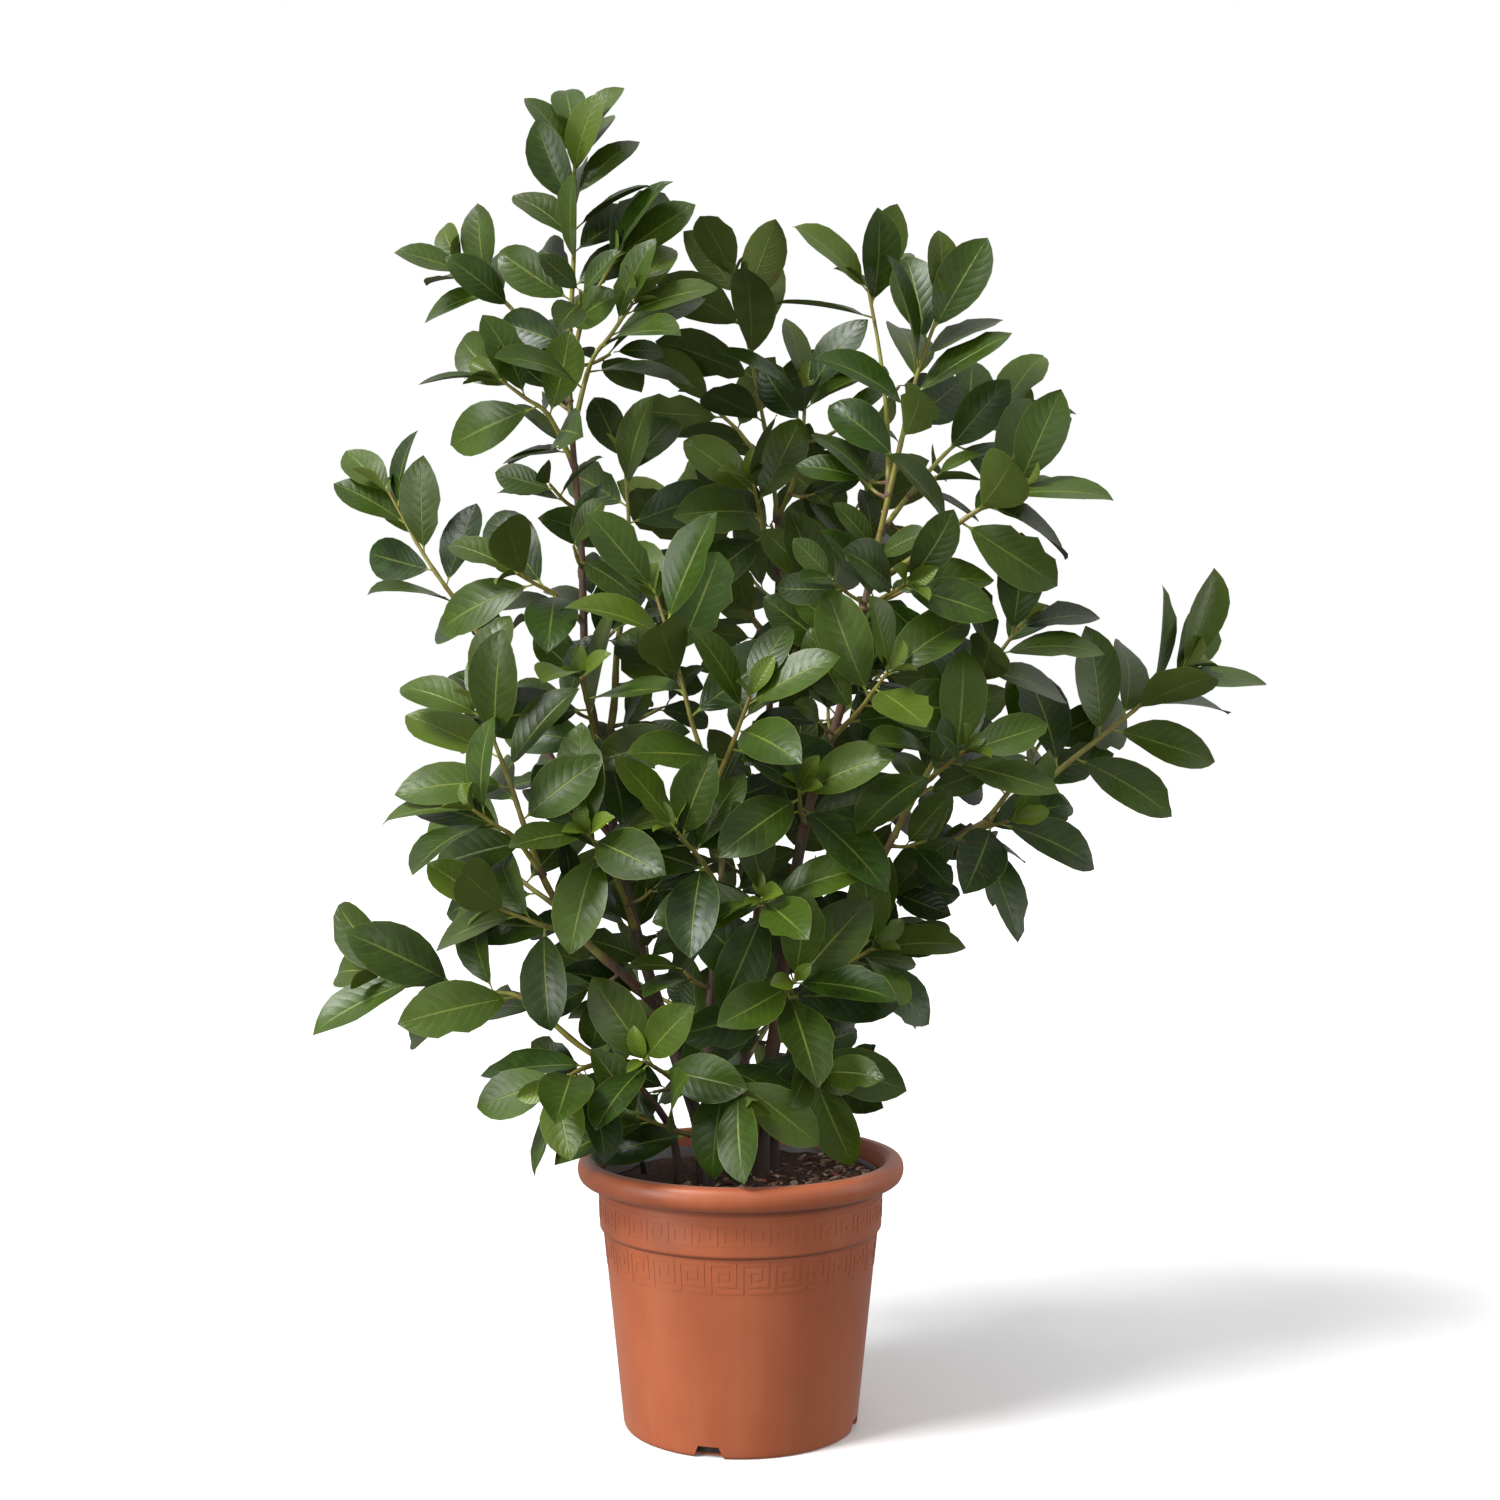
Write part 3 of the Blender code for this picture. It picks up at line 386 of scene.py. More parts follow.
@dataclass(frozen=True)
class LabelPlastic:
    """Glossy blue-black plastic strip."""

    dark: Colour = (0.012, 0.014, 0.02)
    blue: Colour = (0.06, 0.24, 0.5)

    def material(self) -> bpy.types.Material:
        """The finish as a material."""
        graph = Graph("label plastic")
        face = graph.attribute("shade")[0]
        smear = graph.grain(scale=120.0, detail=3.0).step(0.5, 0.75)
        return graph.dress(base_color=graph.blend(face, self.dark, self.blue), roughness=0.28 + smear * 0.25,
                           normal=graph.bump(smear, distance=0.0002, strength=0.5))


@dataclass(frozen=True)
class StemSkin:
    """Skin of a stem: yellow-green where it is young, red-brown then grey-brown bark where it is old.

    The attribute shade holds the age from 0 to 1, then how red the stretch is, then how near a leaf joint is.
    Low down, painted shade darkens the stems.
    """

    young: Colour = (0.27, 0.27, 0.045)
    ripe: Colour = (0.2, 0.085, 0.035)
    bark: Colour = (0.1, 0.062, 0.045)
    cork: Colour = (0.2, 0.15, 0.12)
    low_stem_shade: Colour = (0.022, 0.014, 0.01)
    low_stem_shade_from: float = 0.4
    low_stem_shade_to: float = 0.29

    def material(self) -> bpy.types.Material:
        """The finish as a material."""
        graph = Graph("stem skin")
        age, redness, joint = graph.attribute("shade")
        fibre = graph.grain(scale=240.0, detail=4.0, stretch=(1.0, 1.0, 0.14))
        blotch = graph.grain(scale=55.0, detail=3.0, stretch=(1.0, 1.0, 0.5))
        pores = graph.grain(scale=520.0, detail=1.0, stretch=(1.0, 1.0, 0.7)).step(0.64, 0.7)
        tone = graph.blend(fibre.step(0.35, 0.7) * 0.55, self.bark, self.cork)
        tone = graph.blend(blotch.step(0.5, 0.62) * 0.5, tone, self.ripe)
        old = (age + (blotch - 0.5) * 0.5).step(0.42, 0.72)
        green = graph.blend((redness + (fibre - 0.5) * 0.6).step(0.3, 1.0), self.young, self.ripe)
        colour = graph.blend(old, green, tone)
        colour = graph.blend(pores * old * 0.6, colour, self.cork)
        colour = graph.blend(joint * 0.5, colour, self.ripe)
        # Painted shade: darker near the soil, where the foliage shades the stems.
        low = graph.height().step(self.low_stem_shade_from, self.low_stem_shade_to)
        colour = graph.blend(low * 0.75, colour, self.low_stem_shade)
        rise = fibre * old + pores * old * 0.6 + blotch * 0.3
        return graph.dress(base_color=colour, roughness=0.4 + old * 0.3,
                           normal=graph.bump(rise, distance=0.0008, strength=0.8))


class Side(Enum):
    """The two sides of a blade."""

    UPPER = "laurel leaf upper side"
    UNDER = "laurel leaf underside"


@dataclass(frozen=True)
class Blade:
    """A laurel leaf's skin: quilted between sunken side veins, with a pale midrib.

    The UV map leaf runs across and along the blade. The attribute shade holds how yellow the leaf is, how
    light it is and how blemished it is.
    """

    side: Side
    deep: Colour
    mid: Colour
    fresh: Colour
    vein: Colour
    blemish: Colour = (0.17, 0.075, 0.015)
    veins: float = 10.0
    slant: float = 1.5
    gloss: float = 0.26
    sheen: float = 0.34
    relief: float = 0.0006

    def material(self) -> bpy.types.Material:
        """The finish as a material."""
        graph = Graph(self.side.value)
        yellow, light, worn = graph.attribute("shade")
        flat = graph.node("ShaderNodeSeparateXYZ", None,
                          {0: graph.node("ShaderNodeUVMap", {"uv_map": "leaf"}).outputs[0]})
        across = Signal(graph, flat.outputs[0]) * 2.0 - 1.0
        along = Signal(graph, flat.outputs[1])
        out = abs(across)
        cloud = graph.grain(scale=46.0, detail=3.0)
        fine = graph.grain(scale=420.0, detail=3.0)
        row = along * self.veins - out * self.slant - out * out * 0.7 + (across > 0.0) * 0.4 + cloud * 0.5
        between = abs(row.fract() - 0.5) * 2.0
        blade = along.step(0.1, 0.16)
        side_vein = between.step(0.84, 1.0) * out.step(0.9, 0.5) * blade
        rib = out.step(0.06, 0.015) * along.step(1.15, 0.55)
        stalk = along.step(0.13, 0.085)
        margin = out.step(0.955, 1.0)
        colour = graph.blend((cloud.step(0.3, 0.7) * 0.5 + light * 0.8).step(0.1, 1.2), self.deep, self.mid)
        colour = graph.blend(yellow, colour, self.fresh)
        colour = graph.blend(side_vein * 0.12, colour, self.vein)
        colour = graph.blend(margin * 0.4, colour, self.vein)
        colour = graph.blend(rib * 0.5, colour, self.vein)
        colour = graph.blend(stalk, colour, self.vein)
        specks = graph.grain(scale=130.0, detail=2.0)
        spots = (specks + worn * 0.16 + out * 0.04).step(0.85, 0.91)
        colour = graph.blend(spots * blade, colour, self.blemish)
        hollow = 1.0 - between * between
        if self.side is Side.UPPER:
            quilt = hollow * blade * out.step(1.2, 0.3) * (1.0 - rib) * 0.42
            height = quilt + cloud + fine * 0.1 - rib * 0.4 * blade
        else:
            height = rib * 1.2 + side_vein * 0.8 + fine * 0.2
        rough = self.gloss + cloud * 0.14 + fine * 0.08 + spots * 0.3
        return graph.dress(base_color=colour, roughness=rough, specular_ior_level=self.sheen,
                           normal=graph.bump(height, distance=self.relief, strength=0.75))


UPPER_SIDE = Blade(Side.UPPER, (0.0095, 0.024, 0.0013), (0.026, 0.062, 0.003), (0.13, 0.19, 0.014),
                   (0.24, 0.29, 0.045))
UNDER_SIDE = Blade(Side.UNDER, (0.05, 0.08, 0.011), (0.08, 0.12, 0.018), (0.16, 0.21, 0.028),
                   (0.22, 0.26, 0.06), gloss=0.5, relief=0.0005)


@dataclass(frozen=True)
class PaleFloor:
    """Plain pale floor and backdrop."""

    tone: Colour = (0.92, 0.92, 0.92)

    def material(self) -> bpy.types.Material:
        """The finish as a material."""
        graph = Graph("pale floor")
        return graph.dress(base_color=self.tone, roughness=0.9)


def only(obj: bpy.types.Object) -> bpy.types.Object:
    """Selects one object alone and makes it active."""
    bpy.ops.object.select_all(action="DESELECT")
    obj.select_set(True)
    bpy.context.view_layer.objects.active = obj
    return obj


def added(name: str) -> bpy.types.Object:
    """The object that an operator just added, under its name."""
    obj = bpy.context.object
    obj.name = name
    obj.data.name = name
    return only(obj)


def copied(template: bpy.types.Object, name: str) -> bpy.types.Object:
    """A copy of a modelled piece with its own mesh."""
    obj = template.copy()
    obj.data = template.data.copy()
    obj.name = name
    bpy.context.scene.collection.objects.link(obj)
    return obj


def joined(name: str, pieces: list[bpy.types.Object]) -> bpy.types.Object:
    """Joins mesh objects into one.

    Args:
        name: the name of the result.
        pieces: the objects, of which the first is kept.

    Returns:
        The joined object.
    """
    only(pieces[0])
    for piece in pieces:
        piece.select_set(True)
    if len(pieces) > 1:
        bpy.ops.object.join()
    return added(name)


class Editing:
    """Edit mode on the active object, for the length of a with block."""

    def __enter__(self) -> None:
        """Goes into edit mode."""
        bpy.ops.object.mode_set(mode="EDIT")

    def __exit__(self, *problem: object) -> None:
        """Goes back to object mode."""
        bpy.ops.object.mode_set(mode="OBJECT")


def coated(obj: bpy.types.Object, material: bpy.types.Material) -> bpy.types.Object:
    """Gives a mesh object this one material."""
    obj.data.materials.clear()
    obj.data.materials.append(material)
    return obj


def shaded(obj: bpy.types.Object, degrees: float = 35.0) -> bpy.types.Object:
    """Shades smooth over edges flatter than this angle."""
    only(obj)
    bpy.ops.object.shade_smooth_by_angle(angle=math.radians(degrees))
    return obj


def painted(obj: bpy.types.Object, shade: object) -> None:
    """Writes the attribute shade.

    Args:
        obj: the mesh object.
        shade: one colour for all points, or a function from a point to its colour.
    """
    layer = obj.data.color_attributes.new("shade", "FLOAT_COLOR", "POINT")
    values: list[float] = []
    for vertex in obj.data.vertices:
        values += (*(shade(vertex.co) if callable(shade) else shade), 1.0)
    layer.data.foreach_set("color", values)


def remove(obj: bpy.types.Object) -> None:
    """Removes a mesh object and its mesh."""
    mesh = obj.data
    bpy.data.objects.remove(obj, do_unlink=True)
    bpy.data.meshes.remove(mesh)


def settle(obj: bpy.types.Object, slot: str, *nodes: str) -> bpy.types.Object:
    """Reports a finished piece to the frame.

    Args:
        obj: the piece.
        slot: the record's material slot for its finish; not used.
        nodes: the CAD nodes that it stands for.

    Returns:
        The piece.
    """
    if nodes:
        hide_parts(*nodes)
    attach(obj, "root")
    LOG.info("%s: %d faces", obj.name, len(obj.data.polygons))
    return obj


def spun(name: str, profile: list[Pair], steps: int) -> bpy.types.Object:
    """Turns a closed solid from a profile that starts and ends on the axis.

    Args:
        name: the object's name.
        profile: (radius, height) corners.
        steps: how many faces go round.

    Returns:
        The solid, with its faces outwards.
    """
    bpy.ops.mesh.primitive_plane_add(size=0.01, location=CENTRE)
    obj = added(name)
    with Editing():
        bpy.ops.mesh.select_all(action="SELECT")
        bpy.ops.mesh.merge(type="CENTER")
        bpy.ops.transform.translate(value=(profile[0][0], 0.0, profile[0][1]))
        for (r0, z0), (r1, z1) in zip(profile, profile[1:]):
            bpy.ops.mesh.extrude_region_move(TRANSFORM_OT_translate={"value": (r1 - r0, 0.0, z1 - z0)})
        bpy.ops.mesh.select_all(action="SELECT")
        bpy.ops.mesh.spin(steps=steps, angle=math.tau, center=CENTRE, axis=UP)
        bpy.ops.mesh.select_all(action="SELECT")
        bpy.ops.mesh.remove_doubles(threshold=MERGE_DISTANCE)
        bpy.ops.mesh.normals_make_consistent(inside=False)
    return obj


def rounded(start: Pair, corner: Pair, end: Pair,
            steps: int) -> list[Pair]:
    """Points of a curve from start to end that bends round a corner, both ends included."""
    found = []
    for step in range(steps + 1):
        t = step / steps
        found.append(tuple((1 - t) ** 2 * a + 2 * t * (1 - t) * b + t * t * c
                           for a, b, c in zip(start, corner, end)))
    return found


@dataclass
class Meander:
    """A band of raised Greek key on the container's wall."""

    rows: tuple[str, ...]
    low: float
    high: float

    def heights(self) -> list[float]:
        """The heights of the lines between the rows, from the top down."""
        count = len(self.rows)
        return [self.high + (self.low - self.high) * index / count for index in range(count + 1)]

    def raised(self, turn: float, height: float, steps: int) -> bool:
        """Whether the pattern is raised at this share of a full turn and this height."""
        if not self.low < height < self.high:
            return False
        row = self.rows[int((self.high - height) / (self.high - self.low) * len(self.rows))]
        return row[int(turn * steps) % len(row)] == "#"


@dataclass
class Container:
    """The outer container: rolled rim, collar, tapered wall, two bands of relief and drainage notches."""

    rim_radius: float = 0.175
    rim_top: float = 0.285
    rim_bottom: float = 0.26
    mouth_radius: float = 0.1555
    collar_radius: float = 0.1525
    collar_foot_radius: float = 0.1512
    collar_bottom: float = 0.212
    body_top_radius: float = 0.147
    foot_radius: float = 0.1255
    foot_round: float = 0.004
    wall: float = 0.003
    crease: float = 0.004
    lip_width: float = 0.0078
    lip_depth: float = 0.011
    roll_width: float = 0.0085
    under_width: float = 0.0105
    tuck_width: float = 0.006
    wall_rings: tuple[float, ...] = (0.13, 0.087, 0.044, 0.01)
    steps: int = 252
    relief: float = 0.00045
    notches: int = 4
    first_notch: float = -105.0
    notch_size: Triple = (0.018, 0.029, 0.0125)
    notch_flare: float = 1.5
    notch_top: float = 0.5
    collar_band: Meander = field(default_factory=lambda: Meander(
        ("#######",
         "#......",
         "#.####.",
         "#.#..#.",
         "#.#.##.",
         "#.#....",
         "#.#####"), 0.2225, 0.2475))
    wall_band: Meander = field(default_factory=lambda: Meander(
        ("########.",
         "#......#.",
         "#.####.#.",
         "#.#..#.#.",
         "#.#.##.#.",
         "#.#....#.",
         "#.######.",
         "#........",
         "#.#######"), 0.173, 0.2055))

    def wall_radius(self, height: float) -> float:
        """The outer radius of the tapered wall at this height."""
        share = (height - self.foot_round) / (self.collar_bottom - self.crease - self.foot_round)
        return self.foot_radius + (self.body_top_radius - self.foot_radius) * share

    def collar_at(self, height: float) -> float:
        """The outer radius of the collar at this height."""
        share = (height - self.collar_bottom) / (self.rim_bottom - self.collar_bottom)
        return self.collar_foot_radius + (self.collar_radius - self.collar_foot_radius) * share

    def profile(self) -> list[Pair]:
        """The section from the axis over the inner wall, the rim and the outer wall back to the axis.

        The bare offsets, all under 3 mm, only round its corners.
        """
        middle = (self.rim_top + self.rim_bottom) / 2
        inside = self.foot_radius - self.wall
        inner = [(0.0, self.wall), (inside - self.crease, self.wall), (inside, self.wall + self.crease),
                 (self.body_top_radius - self.wall, self.collar_bottom - self.crease),
                 (self.collar_radius - self.wall, self.collar_bottom + self.crease),
                 (self.collar_radius - self.wall + 0.0012, self.rim_bottom)]
        lip = rounded((self.mouth_radius - 0.0008, self.rim_top - self.lip_depth),
                      (self.mouth_radius, self.rim_top),
                      (self.mouth_radius + self.lip_width, self.rim_top), steps=6)
        roll = rounded((self.rim_radius - self.roll_width, self.rim_top - 0.0002),
                       (self.rim_radius, self.rim_top - 0.0005), (self.rim_radius, middle), steps=7)
        under = rounded((self.rim_radius, middle), (self.rim_radius - 0.0008, self.rim_bottom + 0.0008),
                        (self.rim_radius - self.under_width, self.rim_bottom), steps=6)[1:]
        tuck = rounded((self.collar_radius + self.tuck_width, self.rim_bottom - 0.0002),
                       (self.collar_radius, self.rim_bottom),
                       (self.collar_radius - 0.0001, self.rim_bottom - self.crease), steps=4)
        collar = [(self.collar_at(z), z) for z in self.collar_band.heights()]
        step = rounded((self.collar_foot_radius, self.collar_bottom + 0.0015),
                       (self.collar_foot_radius, self.collar_bottom - 0.001),
                       (self.body_top_radius + 0.0012, self.collar_bottom - 0.0028), steps=4)
        crease = [(self.body_top_radius, self.collar_bottom - self.crease)]
        wall = [(self.wall_radius(z), z) for z in (*self.wall_band.heights(), *self.wall_rings)]
        foot = rounded((self.foot_radius, self.foot_round), (self.foot_radius - 0.0004, 0.0),
                       (self.foot_radius - self.foot_round, 0.0), steps=4)
        return [*inner, *lip, *roll, *under, *tuck, *collar, *step, *crease, *wall, *foot, (0.0, 0.0)]

    def raise_bands(self, obj: bpy.types.Object) -> None:
        """Raises the relief: the faces of each band's pattern are selected by their place and extruded."""
        for band, radius_at in ((self.collar_band, self.collar_at), (self.wall_band, self.wall_radius)):
            only(obj)
            with Editing():
                bpy.ops.mesh.select_mode(type="FACE")
                bpy.ops.mesh.select_all(action="DESELECT")
            for face in obj.data.polygons:
                place = face.center
                turn = (math.atan2(place.y, place.x) / math.tau) % 1.0
                outside = math.hypot(place.x, place.y) > radius_at(place.z) - self.wall / 2
                face.select = outside and band.raised(turn, place.z, self.steps)
            with Editing():
                bpy.ops.mesh.extrude_region_shrink_fatten(TRANSFORM_OT_shrink_fatten={"value": self.relief})
                bpy.ops.mesh.select_mode(type="VERT")

    def cut_notches(self, obj: bpy.types.Object) -> None:
        """Cuts the drainage notches in the foot."""
        depth, width, height = self.notch_size
        for index in range(self.notches):
            angle = math.radians(self.first_notch + 360 * index / self.notches)
            reach = self.foot_radius - depth / 6
            bpy.ops.mesh.primitive_cube_add(size=1.0)
            cutter = added("notch")
            with Editing():
                bpy.ops.transform.resize(value=(depth, width * self.notch_flare, height * 2))
            for vertex in cutter.data.vertices:
                if vertex.co.z > 0:
                    vertex.co.y *= self.notch_top
            cutter.data.transform(Matrix.Rotation(angle, 4, "Z") @ Matrix.Translation((reach, 0.0, 0.0)))
            modifier = only(obj).modifiers.new("Notch", "BOOLEAN")
            modifier.operation = "DIFFERENCE"
            modifier.object = cutter
            modifier.solver = "EXACT"
            bpy.ops.object.modifier_apply(modifier=modifier.name)
            remove(cutter)

    def build(self) -> bpy.types.Object:
        """Builds and dresses the container."""
        obj = spun("container", self.profile(), self.steps)
        self.raise_bands(obj)
        self.cut_notches(obj)
        coated(obj, TerracottaPlastic().material())
        return settle(shaded(obj, degrees=32.0), "terracotta_plastic", "pot")


@dataclass
class GrowersPot:
    """The thin grey pot inside the container, with a folded lip."""

    top: float = 0.268
    top_radius: float = 0.1475
    foot_radius: float = 0.117
    floor: float = 0.0033
    wall: float = 0.0012
    low_ring: float = 0.13
    high_ring: float = 0.24
    fold_top: float = 0.262
    fold_bottom: float = 0.26
    fold: float = 0.0002
    steps: int = 128

    def radius_at(self, height: float) -> float:
        """The outer radius at this height."""
        share = (height - self.floor) / (self.top - self.floor)
        return self.foot_radius + (self.top_radius - self.foot_radius) * share

    def build(self) -> bpy.types.Object:
        """Builds and dresses the pot."""
        inside = self.floor + self.wall
        lip = rounded((self.top_radius - self.wall, self.top - 0.001),
                      (self.top_radius - self.wall * 0.6, self.top + 0.0004),
                      (self.top_radius, self.top - 0.0008), steps=4)
        profile = [(0.0, inside), (self.foot_radius - self.wall, inside),
                   (self.radius_at(self.low_ring) - self.wall, self.low_ring),
                   (self.radius_at(self.high_ring) - self.wall, self.high_ring), *lip,
                   (self.radius_at(self.fold_top) + self.fold, self.fold_top),
                   (self.radius_at(self.fold_bottom) - self.fold, self.fold_bottom),
                   (self.radius_at(self.low_ring), self.low_ring), (self.foot_radius, self.floor),
                   (0.0, self.floor)]
        obj = spun("growers_pot", profile, self.steps)
        coated(obj, GreyPlastic().material())
        return settle(shaded(obj, degrees=40.0), "grey_plastic", "grower_pot")


@dataclass
class SoilBed:
    """The crumbly soil with chips of bark on it."""

    left_height: float = 0.254
    right_height: float = 0.264
    bump: float = 0.003
    bump_across: float = 37.0
    bump_deep: float = 43.0
    span: float = 0.295
    radius: float = 0.1448
    floor_radius: float = 0.1152
    floor: float = 0.0048
    skirt: float = 0.2
    edge: float = 0.0005
    sides: int = 144
    rings: int = 44
    lump: float = 0.0032
    coarse: float = 60.0
    coarse_share: float = 0.55
    fine: float = 260.0
    fine_share: float = 0.35
    chips: int = 420
    chip_sizes: tuple[Pair, ...] = ((0.005, 0.013), (0.003, 0.007), (0.0015, 0.003))
    chip_scales: tuple[float, ...] = (0.5, 0.8, 1.0)
    chip_bevel: float = 0.16
    chip_skew: float = 0.28
    chip_tilt: float = 0.5
    chip_reach: float = 0.965
    chips_in_middle: float = 0.3
    chips_to_front: float = 0.7
    front_reach: float = 0.2
    pink_chips: float = 0.22
    seed: str = "bark chips"

    def height(self, x: float, y: float) -> float:
        """The height of the soil at this place."""
        share = 0.5 + x / self.span
        level = self.left_height + (self.right_height - self.left_height) * share
        level += self.bump * math.sin(self.bump_across * x + 1.0) * math.cos(self.bump_deep * y - 0.6)
        place = Vector((x, y, 0.0))
        coarse = noise.fractal(place * self.coarse, 0.8, 2.1, 3)
        fine = noise.noise(place * self.fine)
        return level + self.lump * (self.coarse_share * coarse + self.fine_share * fine)

    def build_bed(self) -> bpy.types.Object:
        """Builds the soil: a disc inset into rings, then extruded down to the pot's floor."""
        bpy.ops.mesh.primitive_circle_add(vertices=self.sides, radius=self.radius, fill_type="NGON",
                                          location=CENTRE)
        obj = added("soil_bed")
        with Editing():
            bpy.ops.mesh.select_all(action="SELECT")
            for _ in range(self.rings - 1):
                bpy.ops.mesh.inset(thickness=self.radius / self.rings)
            bpy.ops.mesh.merge(type="CENTER")
        for vertex in obj.data.vertices:
            vertex.co.z = self.height(vertex.co.x, vertex.co.y)
            vertex.select = vertex.co.xy.length > self.radius - self.edge
        for edge in obj.data.edges:
            edge.select = all(obj.data.vertices[i].select for i in edge.vertices)
        for face in obj.data.polygons:
            face.select = False
        only(obj)
        with Editing():
            bpy.ops.mesh.select_mode(type="EDGE")
            bpy.ops.mesh.extrude_edges_move(TRANSFORM_OT_translate={"value": (0.0, 0.0, -self.skirt)})
        shrink = self.floor_radius / self.radius
        for vertex in obj.data.vertices:
            if vertex.select:
                vertex.co = (vertex.co.x * shrink, vertex.co.y * shrink, self.floor)
        with Editing():
            bpy.ops.mesh.edge_face_add()
            bpy.ops.mesh.select_all(action="SELECT")
            bpy.ops.mesh.normals_make_consistent(inside=False)
            bpy.ops.mesh.select_mode(type="VERT")
        coated(obj, PottingSoil().material())
        return settle(shaded(obj, degrees=75.0), "potting_soil", "soil")

    def build_chips(self) -> bpy.types.Object:
        """Models one chip and strews copies of it, most of them at the front right."""
        bpy.ops.mesh.primitive_cube_add(size=1.0)
        template = added("chip")
        with Editing():
            bpy.ops.mesh.bevel(offset=self.chip_bevel, segments=1)
        rng = random.Random(self.seed)
        chips = []
        while len(chips) < self.chips:
            reach = self.radius * self.chip_reach * math.sqrt(rng.random())
            around = rng.uniform(0.0, math.tau)
            x, y = reach * math.cos(around), reach * math.sin(around)
            if rng.random() > self.chips_in_middle + self.chips_to_front * (x - y) / self.front_reach:
                continue
            size = Vector([rng.uniform(least, most) for least, most in self.chip_sizes])
            size *= rng.choice(self.chip_scales)
            chip = copied(template, "chip")
            for vertex in chip.data.vertices:
                skew = 1.0 + rng.uniform(-self.chip_skew, self.chip_skew)
                vertex.co = Vector((vertex.co.x * size.x, vertex.co.y * size.y, vertex.co.z * size.z)) * skew
            pitch = Matrix.Rotation(rng.uniform(-self.chip_tilt, self.chip_tilt), 4, "X")
            roll = Matrix.Rotation(rng.uniform(-self.chip_tilt, self.chip_tilt), 4, "Y")
            turn = Matrix.Rotation(rng.uniform(0.0, math.tau), 4, "Z")
            spot = Matrix.Translation((x, y, self.height(x, y) + size.z * 0.25))
            chip.data.transform(spot @ turn @ (pitch @ roll))
            pale = rng.random() ** 1.6
            pink = rng.random() if rng.random() < self.pink_chips else 0.0
            painted(chip, (pale, pink, rng.random()))
            chips.append(chip)
        remove(template)
        return settle(coated(joined("bark_chips", chips), ChipStock().material()), "potting_soil")

    def build(self) -> None:
        """Builds the soil and its chips."""
        self.build_bed()
        self.build_chips()


@dataclass
class PlantLabel:
    """The narrow plastic strip that stands in the soil."""

    width: float = 0.006
    thickness: float = 0.001
    length: float = 0.135
    foot: Triple = (-0.094, 0.04, 0.2)
    lean: float = -12.0
    edge_share: float = 0.2
    groove: float = 0.7
    painted_share: float = 0.4
    bevel: float = 0.0002

    def build(self) -> bpy.types.Object:
        """Builds a strip with a raised edge down each side and dresses it."""
        bpy.ops.mesh.primitive_cube_add(size=1.0)
        obj = added("label_strip")
        with Editing():
            bpy.ops.transform.resize(value=(self.width, self.thickness, self.length))
            bpy.ops.mesh.select_all(action="DESELECT")
        for face in obj.data.polygons:
            face.select = abs(face.normal.y) > 0.9
        with Editing():
            bpy.ops.mesh.select_mode(type="FACE")
            bpy.ops.mesh.inset(thickness=self.width * self.edge_share)
            bpy.ops.transform.resize(value=(1.0, self.groove, 1.0))
        painted(obj, lambda co: (1.0 if abs(co.x) < self.width * self.painted_share else 0.0, 0.0, 0.0))
        with Editing():
            bpy.ops.mesh.select_mode(type="VERT")
        bevel = only(obj).modifiers.new("Edge", "BEVEL")
        bevel.width = self.bevel
        bevel.segments = 2
        bpy.ops.object.modifier_apply(modifier=bevel.name)
        lean = Matrix.Rotation(math.radians(self.lean), 4, "Y")
        rise = Matrix.Translation((0.0, 0.0, self.length / 2))
        obj.data.transform(Matrix.Translation(self.foot) @ lean @ rise)
        coated(obj, LabelPlastic().material())
        return settle(shaded(obj), "label_plastic", "plant_label")


@dataclass(frozen=True)
class Stem:
    """A stem's route from its parent to its tip, and the leaves on its last stretch."""

    name: str
    wood: str
    parent: str
    radius: float
    route: tuple[Triple, ...]
    leafy: float
    leaves: int
    longest: float
    turn: float
    droop: float


